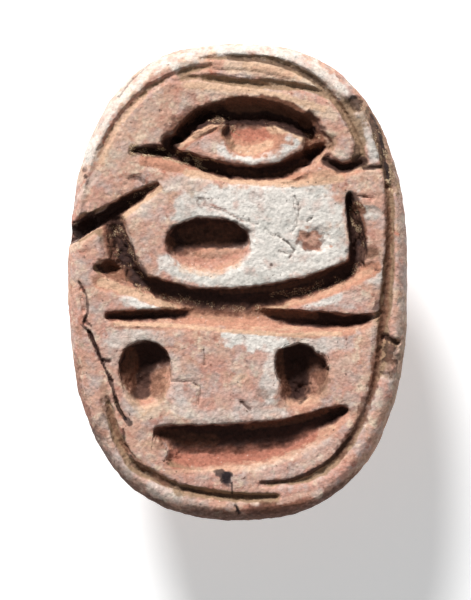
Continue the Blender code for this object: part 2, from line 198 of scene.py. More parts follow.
@dataclass(frozen=True)
class Face:
    """The carved face, as the frame gives it."""

    half_width: float
    half_length: float
    height: float
    outline_fullness: float = 2.5
    rim_level: float = 0.95

    @classmethod
    def from_frame(cls) -> "Face":
        """Takes the face's sizes from the CAD node.

        Returns:
            The face.
        """
        low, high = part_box(NODE)
        return cls((high.x - low.x) / 2, (high.y - low.y) / 2, high.z)

    def level(self, points: np.ndarray) -> np.ndarray:
        """How far out each place is.

        Args:
            points: Places in metres, one row each.

        Returns:
            A share per place: 0 in the middle and 1 on the outline.
        """
        across = np.abs(points[:, 0] / self.half_width) ** self.outline_fullness
        along = np.abs(points[:, 1] / self.half_length) ** self.outline_fullness
        return (across + along) ** (1 / self.outline_fullness)

    def place(self, across: float, along: float) -> tuple[float, float]:
        """Finds a place on the face.

        Args:
            across: Percent of the half width.
            along: Percent of the half length.

        Returns:
            The place's x and y in metres.
        """
        return (across / PERCENT * self.half_width, along / PERCENT * self.half_length)

    def reach(self, percent: float) -> float:
        """Turns percent of the half width into metres."""
        return percent / PERCENT * self.half_width


@dataclass(frozen=True)
class Patch:
    """An oval stretch of the face, with a ragged edge."""

    across: float
    along: float
    half_width: float
    half_length: float
    turn: float = 0.0
    strength: float = 1.0
    ragged: float = 0.35
    soft: float = 0.5

    def mask(self, points: np.ndarray, face: Face, roughness: np.ndarray) -> np.ndarray:
        """How much of the patch is at each place.

        Args:
            points: Places in metres, one row each.
            face: The carved face.
            roughness: Noise at those places, which makes the edge ragged.

        Returns:
            A share per place, from 0 to strength.
        """
        x, y = face.place(self.across, self.along)
        turn = math.radians(self.turn)
        right = points[:, 0] - x
        up = points[:, 1] - y
        wide = (right * math.cos(turn) + up * math.sin(turn)) / face.reach(self.half_width)
        tall = (up * math.cos(turn) - right * math.sin(turn)) / face.reach(self.half_length)
        reach = np.sqrt(wide * wide + tall * tall) + self.ragged * roughness
        return self.strength * step(1 + self.soft / 2, 1 - self.soft / 2, reach)


@dataclass(frozen=True)
class Stroke:
    """A stretch along a line on the face, with a ragged edge."""

    places: tuple[tuple[float, float], ...]
    reach: float
    strength: float = 1.0
    ragged: float = 0.35
    soft: float = 0.6

    def mask(self, points: np.ndarray, face: Face, roughness: np.ndarray) -> np.ndarray:
        """How much of the stroke is at each place.

        Args:
            points: Places in metres, one row each.
            face: The carved face.
            roughness: Noise at those places, which makes the edge ragged.

        Returns:
            A share per place, from 0 to strength.
        """
        nearest = np.full(len(points), np.inf)
        corners = [np.array(face.place(*place)) for place in self.places]
        for start, end in zip(corners, corners[1:]):
            run = end - start
            offset = points[:, :2] - start
            share = np.clip(offset @ run / (run @ run), 0.0, 1.0)
            away = offset - share[:, None] * run
            nearest = np.minimum(nearest, np.hypot(away[:, 0], away[:, 1]))
        reach = nearest / face.reach(self.reach) + self.ragged * roughness
        return self.strength * step(1 + self.soft / 2, 1 - self.soft / 2, reach)


Mark = Patch | Stroke

# Lines on the face that several marks follow, in percent
EYE_GAP = ((42, 66), (45, 61), (44, 56))
LOWER_LEFT_BAND = ((-77, -52), (-70, -65), (-58, -76), (-42, -84))
RIGHT_BORDER = ((88.5, 38), (89, 20), (88, 0), (85, -15), (81, -30))
TAIL_BORDER = ((62, 74), (68, 67), (72, 58), (69, 51))
FOOT_LINE = ((-32, -86.5), (-10, -89.2), (10, -89.7), (22, -89.6))
BROW_LEFT = ((-35, 60.5), (-29, 64.8), (-20, 69))
TAIL = ((52, 50.5), (59, 47.5), (66, 48), (73, 50.5))
RING = (
    (-24.5, 33.3),
    (-23.1, 34.8),
    (-20.5, 34.8),
    (-19.3, 33.3),
    (-20.7, 31.7),
    (-23.1, 31.7),
    (-24.5, 33.3),
)

# The paint: where each layer lies on the face, beside what the cuts' own form brings. Some marks are painted
# light and shade, as their comments say.
PAINT: dict[Layer, dict[str, Mark]] = {
    Layer.CREAM: {
        "ridge_between_top_lines": Stroke(((-5, 90), (15, 89), (30, 86), (45, 82)), 5),
        "under_top_lines": Stroke(((-30, 82), (5, 80), (30, 75), (55, 70)), 4.5, 0.8),
        # Partly painted highlight: the rim at the upper left and top, which faces the light, is painted
        # lighter
        "rim_upper_left": Stroke(((-93, 45), (-78, 72), (-50, 90), (-15, 97)), 6, 0.7),
        "rim_top": Stroke(((-15, 97), (20, 97), (45, 90)), 6, 0.7),
        "eye_right_top": Stroke(((25, 66), (36, 64), (42, 60)), 5, 0.9),
        # Partly painted highlight: the lower lips of the slit, the left pit, the crescent and the tail, which
        # face the light, are painted cream
        "slit_lower_lip": Stroke(((-70, 27), (-58, 33), (-47, 39)), 3.5, 0.8),
        "channel_corner": Stroke(((-98, 14), (-82, 23)), 3, 0.7),
        "left_pit_foot": Patch(-52, -54, 10, 5, 20, 0.8),
        "crescent_lip": Stroke(((-15, -78), (10, -77), (35, -71), (55, -62)), 3.5, 0.7),
        "under_tail": Stroke(((55, 46), (70, 45), (80, 47)), 4, 0.6),
        "right_strip": Stroke(((90, -5), (84, -15), (78, -20)), 4, 0.6),
        "foot_line": Stroke(((0, -93), (25, -92), (45, -88)), 3, 0.5),
        "upper_field": Stroke(((-74, 48), (-60, 65), (-40, 77), (-10, 80), (30, 76), (50, 68)), 9, 0.45),
        "bowl_left_field": Patch(-60, 20, 14, 16, 0, 0.4),
    },
    Layer.GLAZE: {
        "basin_top": Patch(16, 29, 52, 21),
        "basin_right": Patch(34, 14, 32, 20),
        "basin_foot": Patch(2, 5, 42, 12),
        "basin_middle": Patch(16, 13, 22, 20),
        "pit_upper_left": Patch(-24, 30, 16, 13, 0, 0.85),
        "pit_foot": Stroke(((-42, 8), (-26, 3), (-5, 1.5)), 6, 0.9),
        "basin_left_top": Patch(-30, 41, 20, 6, 0, 0.6),
        "eye_ridge": Stroke(((-8, 55.5), (7, 52.5), (22, 53.5), (34, 60)), 5),
        "eye_left": Patch(-14, 57, 10, 5, -20, 0.45),
        "pink_field_left": Patch(-50, 31, 12, 8, 20, 0.45),
        "right_triangle_field": Patch(66, -7, 14, 6, 5, 0.5),
        "lower_field_1": Patch(10, -33, 18, 8, 0, 0.4),
        "lower_field_2": Patch(0, -48, 16, 8, 0, 0.4),
        "lower_field_3": Patch(62, -37, 8, 10, 0, 0.35),
        "band": Stroke(((-5, -23.5), (10, -24.5), (25, -25.5)), 5.5, 1.0, 0.8),
        "band_right": Patch(48, -26, 18, 6, 4, 0.7),
        "left_triangle": Patch(-55, -9, 13, 5.5, -18),
        "right_triangle": Patch(50, -7.5, 14, 4, 12, 0.9),
        "right_corner": Patch(80, 3, 6, 6, 20, 0.7),
        "left_pit_top": Patch(-62, -23.5, 20, 6.5, 0, 0.7),
        "left_pit_right": Patch(-37, -42, 6, 20, 0, 0.5),
        "crescent_top": Stroke(((-36, -52), (-22, -56), (0, -56.5), (25, -55.5)), 5, 0.6),
        "right_pit_left": Patch(20, -38, 6, 20, -8, 0.75),
        "right_pit_top": Patch(24, -27, 14, 5, 0, 0.6),
        "under_crescent": Stroke(((15, -80), (35, -76), (55, -68)), 5.5, 0.45),
        "rim_left": Patch(-86, 56, 3.5, 9, -20, 0.9),
        "rim_left_low": Stroke(((-83, 45), (-92, 36)), 3, 0.6),
        "rim_foot_left": Stroke(((-50, -86), (-36, -90)), 4.5, 0.6),
        "rim_side_left": Stroke(((-82, -66), (-68, -76)), 3.5, 0.5),
        "rim_upper_right": Stroke(((55, 82), (70, 70), (80, 56)), 5, 0.5),
        # Painted highlight, partly white glaze: the rim at the top and upper left, which faces the light, is
        # painted whiter
        "rim_top_left_highlight": Stroke(((-90, 50), (-75, 74), (-50, 90), (-20, 96.5)), 5, 0.72, 1.0),
        "rim_crest_highlight": Stroke(((-10, 97), (20, 96.5), (45, 90), (60, 81)), 5, 0.8, 0.9),
        "rim_right_high": Stroke(((72, 68), (77, 60), (80, 52)), 3.5, 0.75),
    },
    Layer.GREY: {
        "pit_upper_left": Patch(-30, 27, 8, 8, 0, 0.7),
        "basin_cloud_1": Patch(25, 24, 16, 10, 30, 0.45),
        "basin_cloud_2": Patch(50, 27, 14, 9, -20, 0.45),
        "basin_cloud_3": Patch(28, 10, 12, 9, 0, 0.4),
        "basin_cloud_4": Patch(60, 14, 8, 12, 0, 0.45),
        "pit_foot": Stroke(((-36, 5), (-10, 1), (20, 3)), 4, 0.6),
        "scar_right": Patch(76, 29, 10, 5, -10, 0.75),
        "right_side": Stroke(((93, 48), (97, 25), (99, 0), (97, -30), (92, -50)), 5.5, 0.55, 0.9),
        "rough_patch": Patch(89, -40, 6, 12, 0, 0.45, 0.9),
        "under_right_pit": Patch(16, -52, 16, 5, 5, 0.6),
        "left_pit_ring": Stroke(((-74, -24), (-60, -22), (-44, -25)), 4, 0.5),
        "left_pit_side": Patch(-33, -40, 6, 18, 0, 0.4),
        "above_crescent": Stroke(((-34, -55), (-10, -57)), 4, 0.4),
        "band_right": Patch(52, -25.5, 12, 4, 4, 0.4),
        "right_triangle": Patch(47, -7.5, 8, 3.5, 12, 0.5),
        "rim_left": Patch(-87, 53, 2, 5, -20, 0.6),
        "lip_grains": Stroke(((-40, 50), (-30, 50), (-20, 48)), 2.5, 0.6),
        "rim_foot": Stroke(((-75, -73), (-55, -85), (-30, -93)), 4, 0.5),
        "upper_right_rim": Stroke(((62, 80), (72, 68), (80, 55)), 5, 0.5),
    },
    # Bare ochre stone in the cuts, and painted light: laid on the ledges and lower walls that face the light
    Layer.OCHRE_AND_LIGHT: {
        "under_lid": Stroke(((-55, 51), (-30, 47.5), (5, 44), (35, 43), (60, 45)), 4),
        "under_lid_right": Patch(47, 46, 12, 5, 10, 0.7),
        "eye_corner": Stroke(((-35, 57), (-24, 62), (-12, 66)), 3.5, 0.9),
        "eye_scoop": Patch(10, 59, 20, 10, 5),
        "large_pit_floor": Patch(-18, 10, 20, 8, 0, 0.8),
        "right_pit_floor": Patch(40, -45, 12, 8, 0, 0.8),
        "eye_right": Patch(32, 63, 10, 5, 0, 0.6),
        "slit_lip": Stroke(((-68, 29), (-58, 34.5), (-47, 39.5)), 3, 0.8),
        "left_strip": Stroke(((-80, 0.5), (-62, -3), (-46, -7.5), (-38, -10)), 5, 0.85),
        "basin_floor": Stroke(((-36, -13.5), (-15, -15), (8, -16.5)), 5.5, 0.95),
        "bar_ledge_left": Stroke(((-72, -17.5), (-50, -18), (-30, -18)), 3, 0.7),
        "bar_ledge_right": Stroke(((-5, -18.5), (20, -20), (42, -21), (66, -20)), 3.5, 0.85),
        "right_strip": Stroke(((5, -9), (25, -8.5), (42, -6), (60, -1), (80, 6)), 4.5),
        "top_ridge": Stroke(((-18, 91), (5, 90), (30, 87)), 5, 0.5),
        "inner_top": Stroke(((-42, 82), (-25, 83), (5, 80)), 3.5, 0.5),
        "spill": Patch(36, -50, 13, 6, 5, 0.7),
        "crescent_floor": Stroke(((-38, -76), (0, -74), (30, -69), (52, -60)), 8, 0.55),
        "chip": Patch(43, 18, 8, 6, 0, 0.85, 0.8),
        "right_field": Patch(79, 12, 6, 10, 0, 0.5),
        "left_rim_low": Stroke(((-95, -5), (-92, -35)), 3, 0.4),
        "left_pit_floor": Patch(-54, -48, 11, 7, 0, 0.3),
    },
    # Mostly painted highlight: a light tan on the lips and ledges of cuts that face the light
    Layer.TAN: {
        "under_lid": Stroke(((-30, 45.5), (5, 42), (35, 41), (60, 43)), 2.5, 0.8),
        "under_lid_right": Patch(50, 45, 12, 3, 10, 0.6),
        "slit_lip": Stroke(((-69, 27), (-58, 33.5), (-47, 38.5)), 2.5, 0.9),
        "left_strip": Stroke(((-80, 0), (-62, -4.5), (-46, -8.5), (-38, -11)), 3, 0.8),
        "bar_ledge": Stroke(((-72, -17.5), (-40, -18), (-10, -20), (25, -22), (60, -21.5)), 1.5, 0.8),
        "right_strip": Stroke(((25, -9.5), (42, -7), (60, -2), (78, 5)), 2, 0.5),
        "eye_top_left": Stroke(((-34, 57.5), (-22, 62.5), (-12, 66.5)), 2.2, 0.9),
        "eye_right": Stroke(((20, 64), (32, 64.5), (38, 60)), 3.5, 0.9),
        "eye_scoop_foot": Stroke(((0, 56), (8, 54.5), (18, 57.5)), 3, 0.7),
        "crescent_lip": Stroke(((-42, -79), (-20, -78.5), (10, -76.5), (35, -70.5)), 1.5, 0.5),
        "left_pit_foot": Stroke(((-66, -47), (-55, -54.5), (-44, -48)), 2.5, 0.6),
        "large_pit_foot": Stroke(((-32, 6), (-16, 3.5), (0, 8)), 3, 0.6),
        "top_ridge": Stroke(((5, 90), (20, 88.5), (35, 86)), 3, 0.8),
        "inner_top": Stroke(((-30, 82), (5, 80.5), (25, 77.5), (50, 72)), 2.2, 0.8),
        "left_border_lip": Stroke(((-80, 50), (-70, 66), (-55, 78)), 2, 0.7),
        "right_pit_foot": Stroke(((30, -50), (42, -50), (52, -45)), 3, 0.5),
        "upper_field": Stroke(((-76, 46), (-62, 62), (-42, 75), (-10, 79), (30, 75), (52, 66)), 10, 0.3),
    },
    # Brown soil and worn marks, and painted shade on the rim's edge at the bottom and lower left, which turns
    # away from the light
    Layer.UMBER_AND_SHADE: {
        "brow_corner": Stroke(((-40, 62), (-34, 67), (-26, 71.5)), 4.5, 0.7, 0.9),
        "brow_right": Patch(43, 66, 7, 6, -30, 0.7),
        "eye_gap": Stroke(EYE_GAP, 5.5, 0.85),
        "left_channel_wall": Stroke(((-76, 22), (-73, 13), (-71, 8)), 4.5, 0.8),
        "left_pit_wall": Patch(-63, -36, 6, 13, 0, 0.75),
        "left_pit_lumps": Patch(-50, -40, 8, 11, 0, 0.65),
        "right_pit_wall": Stroke(((48, -32), (51, -40), (46, -45)), 4, 0.65),
        "right_pit_left": Stroke(((24, -30), (25, -38), (29, -46)), 2, 0.6),
        "crescent_top": Stroke(((-40, -59), (-10, -59), (20, -58.5), (50, -53)), 3.5, 0.5),
        "crescent_left": Patch(-42, -65.5, 5, 4, 0, 0.5, 0.8),
        "brown_patch": Patch(78, 13, 6, 4, 0, 0.7),
        "chip_left": Stroke(((36, 17), (42, 14)), 2.5, 0.75, 0.9),
        "chip_top": Stroke(((42, 22.5), (52, 22)), 2, 0.5, 0.9),
        "ring": Stroke(RING, 0.9, 0.65, 0.5),
        "foot_rim": Stroke(((10, -94.5), (25, -94), (38, -92)), 3.2, 0.75, 1.0),
        # Painted shade: the bottom edge of the rim, which turns away from the light, is painted dark
        "foot_edge": Stroke(((-70, -83), (-45, -95.5), (0, -99), (45, -95), (75, -80)), 5, 0.7),
        "right_border": Stroke(((87, 30), (88, 10), (86, -8), (82, -30)), 2.8, 0.55, 0.8),
        "scuffs": Patch(14, -46.5, 5, 3.5, 0, 0.5, 0.8),
        "nick_spots": Patch(-53, -62, 3, 4, 0, 0.5, 0.9),
        "lid_top": Stroke(((-10, 50.5), (10, 48.5), (30, 51), (42, 55)), 2.5, 0.6),
        "basin_foot_edge": Stroke(((-40, -1), (-15, -4.5), (10, -3.5), (40, 0.5), (62, 7.5)), 2, 0.6),
        "rim_spots": Stroke(((-86, -58), (-78, -68)), 3.5, 0.5, 0.8),
        "brow_top": Stroke(((2, 75.5), (18, 75.5), (33, 72), (41, 69)), 3.5, 0.9),
        "left_join": Stroke(((-74, 14), (-70, 8)), 4, 0.8),
        "right_border_low": Stroke(((82, -30), (78, -45), (72, -58), (60, -71)), 3.2, 0.75, 0.8),
        "right_pit_shoulder": Patch(47, -37, 6, 10, 0, 0.8),
        "lower_left_band": Stroke(LOWER_LEFT_BAND, 1.8, 0.55, 0.8),
        "chip_right": Stroke(((47, 20.5), (50, 17.5), (46, 15)), 1.8, 0.7, 0.9),
        # Painted shade: the rim's outer edge at the lower left, which turns away from the light, is painted
        # dark
        "rim_edge_left_shade": Stroke(
            ((-97.5, -33), (-93, -50), (-85, -64), (-70, -81), (-55, -90)), 4, 0.6, 0.8
        ),
        "crescent_wall": Stroke(((-38, -76), (0, -74), (30, -69), (50, -61)), 5, 0.42),
    },
    Layer.RED: {
        "brow_corner": Stroke(((-38, 66), (-31, 70), (-22, 73)), 3.5, 0.4, 0.8),
        "scoop": Patch(8, 62, 13, 4.5, 0, 0.75),
        "upper_left_vein": Stroke(((-42, 79), (-32, 80), (-25, 78), (-29, 74)), 1.8, 0.5),
        "top_spots": Stroke(((10, 88.5), (20, 87.5), (30, 86)), 3, 0.45),
        "basin_spot": Patch(11, 36, 5, 6, 0, 0.45),
        "left_spot": Patch(-83, -8, 3.5, 5, 0, 0.5),
        "field_spot": Patch(-9, -35, 5, 3.5, 0, 0.3),
        "field_left": Patch(-30, 38, 8, 1.5, 12, 0.4),
        "left_ring": Patch(-55, 19, 3, 2, 0, 0.4),
        "left_dots": Patch(-53, 11, 4, 2.5, 0, 0.45),
        "strip_left": Patch(-62, 22, 2, 4, 0, 0.4),
        "crescent_wall": Stroke(((-35, -73), (-10, -72), (15, -70), (40, -63)), 7, 0.78),
        "large_pit_wall": Stroke(((-40, 14), (-28, 8), (-10, 7), (3, 13)), 4, 0.5),
        "rim_left": Stroke(((-87, 62), (-93, 45)), 2.5, 0.3),
        "rim_foot_right": Stroke(((5, -96), (30, -94), (42, -91)), 4, 0.7, 0.9),
        "rim_low_left": Patch(-78, -62, 3, 4, 0, 0.5),
        "right_field": Patch(76, 19, 5, 5, 0, 0.4),
        "basin_vein": Stroke(((-16, 32.5), (-8, 30), (-1, 27), (3, 25)), 0.8, 0.6),
        "eye_lobe": Stroke(((-32, 57.5), (-20, 62.5), (-10, 66)), 3.5, 0.45),
        "lower_right_field": Stroke(((30, -80), (55, -70), (68, -55)), 6, 0.4),
        "upper_field": Stroke(((-50, 66), (-40, 73), (-22, 77)), 5, 0.4, 0.8),
        "chip": Patch(43, 17, 7, 5, 0, 0.3, 0.9),
    },
    Layer.KHAKI: {
        "left_border": Stroke(((-90, 34), (-84, 45), (-80, 54)), 2.5, 0.5),
        "scoop_left": Stroke(((-10, 67), (-7.5, 62), (-3, 56.5)), 2.5, 0.7),
        "brow_grains": Stroke(((-20, 69), (-5, 70), (0, 66)), 2.5, 0.5),
        "tail_patch": Patch(53, 58.5, 5, 6, 30, 0.75),
        "upper_right_rim": Stroke(((72, 74), (80, 66), (87, 55), (91, 40)), 5, 0.75, 0.8),
        "right_border": Stroke(RIGHT_BORDER, 3, 0.45),
        "right_border_low": Stroke(((81, -30), (78, -42), (74, -54), (66, -66)), 3.5, 0.55),
        "brown_patch": Patch(78, 12, 5, 3.5, 0, 0.7),
        "left_edge": Stroke(((-93, -20), (-91, -36)), 3, 0.45),
        "scuffs": Patch(14, -47, 5, 4, 0, 0.4),
        "rough_patch": Patch(88.5, -31, 5, 12, 0, 0.6, 0.9),
        "corner_grains": Patch(81, -5, 3, 3, 0, 0.5),
        "left_pit_wall": Patch(-66, -38, 5, 10, 0, 0.6),
        # Painted shade: the bottom rim, which turns away from the light, is painted darker
        "foot_rim": Stroke(((-70, -80), (-40, -95), (0, -99), (50, -92)), 5, 0.5),
        "lower_left_band": Stroke(((-79, -43), (-77, -54), (-69, -66), (-57, -76.5), (-40, -85)), 2.8, 0.6),
        "foot_band": Stroke(((-35, -87), (0, -89.5), (22, -90)), 3.5, 0.9),
        # Painted shade: the lower right rim, which turns away from the light, is painted darker
        "right_side": Stroke(((99, -20), (95, -48), (82, -72), (62, -88)), 6, 0.6),
        "tail_border": Stroke(TAIL_BORDER, 3.5, 0.9),
        "lid_end": Patch(-61, 54.5, 5, 2, 0, 0.8),
        "left_pit_wall_low": Stroke(((-67, -36), (-66, -44), (-60, -50)), 3, 0.6),
        "basin_cloud": Patch(36, 8, 10, 6, 0, 0.25),
        "upper_right_face": Stroke(((50, 83), (62, 75), (70, 66)), 3, 0.6),
        "basin_foot": Stroke(((-40, -9), (-10, -13), (25, -10)), 5, 0.6),
        "left_pit_right": Patch(-47, -42, 6, 11, 0, 0.6, 0.8),
        "crescent_left": Patch(-44, -66, 4, 4, 0, 0.4, 0.8),
        "right_pit_shoulder": Patch(50, -40, 5, 9, 0, 0.7),
        "large_pit_floor": Stroke(((-36, 13), (-18, 11.5), (0, 14.5)), 3, 0.5, 0.8),
    },
    # Dark soil in the cuts and cracks, and painted shade: the pits and channels are painted dark where their
    # walls and floors lie in shadow
    Layer.GRIME_AND_SHADE: {
        "left_channel": Stroke(((-71, 22), (-67, 14), (-63, 7), (-58, 2)), 5.5, 0.95),
        "left_channel_nick": Stroke(((-81.5, 6.2), (-78, 6)), 2.2, 0.95),
        "right_channel": Stroke(((66.5, 35), (69, 25), (71.5, 15), (69, 9)), 4, 0.9),
        "lid_left_end": Stroke(((-62, 55), (-45, 54)), 3, 0.8),
        "basin_foot": Stroke(((-42, -4), (-25, -8), (-5, -9.5), (10, -8.5)), 3, 0.6),
        "right_channel_foot": Patch(70, 13, 6, 10, -5, 0.9),
        "foot_line": Stroke(FOOT_LINE, 1.3, 0.7),
        "lower_right_line": Stroke(((14, -83.8), (30, -83), (42, -79.5), (54, -74.5), (66, -65)), 1.4, 0.8),
        "right_line": Stroke(((87, 30), (88, 10), (86, -10), (83.5, -25)), 1.6, 0.55),
        "lower_left_line": Stroke(((-62, -76), (-45, -83), (-32, -86.5)), 1.6, 0.6),
        "top_line": Stroke(((-5, 93.5), (15, 92.5), (35, 88.5), (50, 82)), 1.6, 0.6),
        "upper_right_edge": Stroke(((78, 68), (84, 57), (87, 45)), 2.5, 0.75, 0.8),
        "large_pit": Patch(-17, 20.5, 23.5, 8.5, 0, 0.95),
        "left_pit": Stroke(((-52, -29), (-56, -36), (-57.5, -45)), 6, 0.9),
        "right_pit": Stroke(((36, -32), (35.5, -38), (34.5, -45)), 7.5),
        # Painted shade: the bottom rim, which turns away from the light, is painted dark here and in
        # rim_foot_left
        "rim_foot": Stroke(((-62, -90), (-35, -98.5), (0, -100), (40, -97.5), (68, -86)), 6, 0.55),
        "rim_foot_left": Stroke(((-88, -62), (-74, -80), (-60, -90)), 4, 0.5),
        # Painted shadow: the brow cut's lower wall is painted dark, as if the shadow reached its lower edge
        "brow_lower_wall_shadow": Stroke(((-32, 62.5), (-18, 67.5), (0, 68), (22, 67), (40, 62)), 3),
        "rim_dot": Patch(-89.5, 44, 1.8, 1.5, 0, 0.9),
        "stain_upper_right": Patch(69, 74.5, 4.5, 3, -50, 0.8, 1.0),
        "rim_right": Stroke(((82, 60), (85, 50), (88, 40)), 1.8, 0.8, 0.8),
        "nick_right": Stroke(((85.5, -22.5), (93, -25)), 1.8, 0.9, 0.8),
        "basin_dot_1": Patch(6.5, 26, 1.2, 1.2, 0, 0.7),
        "basin_dot_2": Patch(19.5, 7.5, 1.4, 1.4, 0, 0.8),
        "basin_dot_3": Patch(35, 33, 1.4, 1.2, 0, 0.6),
        "basin_dot_4": Patch(32, 39.5, 1.6, 0.8, 0, 0.6),
        "basin_dot_5": Patch(9, 37.5, 1, 1.4, 0, 0.5),
        "band_dot": Patch(32, -23.5, 1.2, 0.8, 0, 0.6),
        "corner_dot": Patch(81, 5, 1.5, 1.2, 0, 0.7),
        "brow_left": Stroke(BROW_LEFT, 3, 0.9),
        "lid_corner": Stroke(((-55, 56.5), (-46, 56.5)), 2, 0.7),
        "tail": Stroke(TAIL, 3, 0.95),
        "rough_patch": Patch(88.5, -29.5, 3.5, 5.5, 0, 0.75, 1.4),
        "rough_patch_low": Stroke(((85, -32.5), (90, -32), (93.5, -33.5)), 1.2, 0.8, 1.3),
        "pit_centre": Patch(-16.5, 16.5, 20, 3.5, 0, 0.95),
        "tail_border": Stroke(((70, 56), (68.5, 51)), 2.5, 0.6),
        "border_bead": Patch(81, -10, 3, 4, 0, 0.6, 0.9),
        "strip_nick": Patch(-52, -10, 2, 1, 0, 0.4),
        "rough_patch_foot": Stroke(((84, -37.5), (88.5, -38)), 1, 0.7, 1.3),
        "eye_corner": Stroke(((-42, 58), (-37, 57.5)), 2.8, 0.9),
        "slit_end": Stroke(((-86, 26), (-93, 22.8), (-99, 19.6)), 4.5),
        "right_pit_shoulder": Patch(42, -37, 4, 8, 0, 0.5),
    },
    Layer.DUST: {
        "left_pit_wall": Patch(-63.5, -36, 5, 14, 0, 0.8),
        "left_pit_low": Patch(-47, -45, 5, 6, 0, 0.5),
        "crescent_left": Stroke(((-46, -63), (-30, -66), (-15, -66.5)), 4.5, 0.6),
        "crescent_top": Stroke(((5, -60.5), (35, -58), (52, -54)), 2.2, 0.7),
        "brow_top": Stroke(((-5, 74.5), (18, 74.5), (33, 71.5), (41, 67)), 4.2),
        "lid_right": Stroke(((28, 52), (40, 55.5), (46, 57.5)), 3, 0.6),
        "right_pit_right": Patch(46, -36, 5.5, 9, 0, 0.55),
        "right_pit_left": Stroke(((24, -29), (24.5, -38), (29, -46)), 3, 0.75),
        "basin_edge": Stroke(((64, 10), (45, 1.5), (20, -3), (-10, -4.5)), 1.6, 0.6),
        "bar_left": Stroke(((-74, -13), (-36, -12.5)), 1.8, 0.5),
        "bar_right": Stroke(((10, -11.5), (30, -13.5), (45, -14)), 2.5, 0.75),
        "right_channel": Stroke(((70, 31), (72, 24), (72.5, 19)), 4, 0.95, 0.5),
        "slit": Patch(-52, 39, 6, 3, 0, 0.5, 0.8),
        "large_pit_left": Patch(-40, 17, 3.5, 4, 0, 0.7),
        "left_channel_wall": Stroke(((-77.5, 20), (-75, 13)), 3.5, 0.6),
        "brow_corner": Stroke(((-38, 63.5), (-31, 68.5), (-20, 72.5), (-5, 75.5)), 2.8, 0.7, 0.8),
        "eye_gap": Patch(45, 59, 7, 5.5, 0, 0.9, 0.6),
        "crescent_end": Stroke(((-47.5, -63), (-45.5, -69)), 3, 0.6, 0.8),
        "lower_left_band": Stroke(LOWER_LEFT_BAND, 1.8, 0.6, 0.8),
        "right_border": Stroke(
            ((87, 40), (88.5, 10), (87, -8), (83, -25), (80, -36), (77, -46)), 2.2, 0.7, 0.7
        ),
        "lid_foot": Stroke(((-5, 46.5), (7.5, 45.6), (18.5, 44.6), (29, 46), (40, 51)), 1.8, 0.6, 0.6),
        "foot_rim": Stroke(((15, -95.5), (30, -93), (42, -90)), 2.5, 0.6, 0.9),
        "large_pit": Patch(-16.5, 20, 21, 7.5, 0, 0.6),
        "channel_nick": Stroke(((-76.5, 6.5), (-72, 5), (-68, 3.5)), 5, 0.85, 0.6),
        "rough_patch": Patch(90, -34, 3, 7, 0, 0.6, 1.2),
    },
    Layer.GRIT: {
        "left_channel": Stroke(((-72, 20), (-67, 12), (-62, 5), (-56, -1)), 7, 0.94),
        "lid_left": Stroke(((-62, 55), (-45, 54), (-30, 51.5), (-15, 49)), 4.5),
        "lid_foot": Stroke(((-15, 47), (10, 45), (30, 45.5)), 3, 0.7),
        "brow_left": Stroke(((-15, 69), (-5, 67), (2, 63.5)), 4.5, 0.95),
        "brow_right": Stroke(((10, 67.5), (30, 66.5), (42, 61), (45, 57)), 4, 0.8),
        "right_channel": Stroke(((69, 31), (71.5, 24), (72, 17)), 4.5),
        "basin_right_foot": Stroke(((20, -7), (40, -4), (60, 1), (72, 6)), 4.5, 0.9),
        "basin_left_foot": Stroke(((-62, -1), (-50, -5), (-36, -10)), 3, 0.6),
        "bar_left": Stroke(((-76, -14.5), (-55, -13.5), (-36, -12)), 3, 0.6),
        "bar_right": Stroke(((5, -14), (30, -17), (60, -17.5)), 3.5, 0.7),
        "slit": Stroke(((-62, 34), (-50, 40)), 4, 0.9),
        "large_pit_foot": Stroke(((-40, 17), (-20, 12.5), (2, 17)), 3, 0.5),
        "rim_right": Stroke(((84, 60), (88, 50), (92, 38)), 5),
        "rough_patch": Patch(89, -33, 5, 12, 0, 0.7),
        "bar_corner": Stroke(((-40, -12), (-30, -11.5)), 2.5, 0.6),
        "left_pit": Patch(-60, -38, 6, 12, 0, 0.75),
        "large_pit_floor": Patch(-18, 9, 18, 5, 0, 0.6),
        "basin_foot_left": Stroke(((-45, -5), (-25, -9), (0, -11), (20, -10)), 3.5, 0.9),
        "upper_right_rim": Stroke(((72, 72), (80, 64), (84, 56)), 5, 0.9),
        "eye_gap": Patch(44, 60, 6, 5, 0, 0.9),
        "chip": Patch(44, 19, 9, 6, 0, 0.8),
    },
    Layer.STAIN: {
        "foot": Stroke(((-10, -80), (-6, -81.5), (-3.5, -84), (-3.5, -88)), 0.9, 0.9),
        "foot_blot": Patch(-9, -80.5, 5.6, 3.4, -30, 0.85, 0.8),
        "left_crack": Patch(-64.5, -57.5, 5.5, 2.5, -40, 0.8, 1.0),
        "foot_rim": Stroke(((-1.2, -93), (0.5, -96.2)), 1.2, 0.8),
        "rim_left": Patch(-90, 47, 2, 2, 0, 0.6),
        "left_rim_low": Stroke(((-79, -56), (-84, -62)), 2, 0.5),
        "foot_blot_low": Patch(-6.5, -81, 3, 4, 20, 1.0, 0.8),
        "left_channel": Stroke(((-69, 15), (-64, 7), (-58, 0)), 4.5, 0.5, 0.6),
        "right_channel": Stroke(((70, 28), (72, 16)), 3, 0.6, 0.7),
        "rim_right": Stroke(((79, 70), (84, 62), (86, 52), (89, 42)), 1.2, 0.8, 0.9),
    },
}

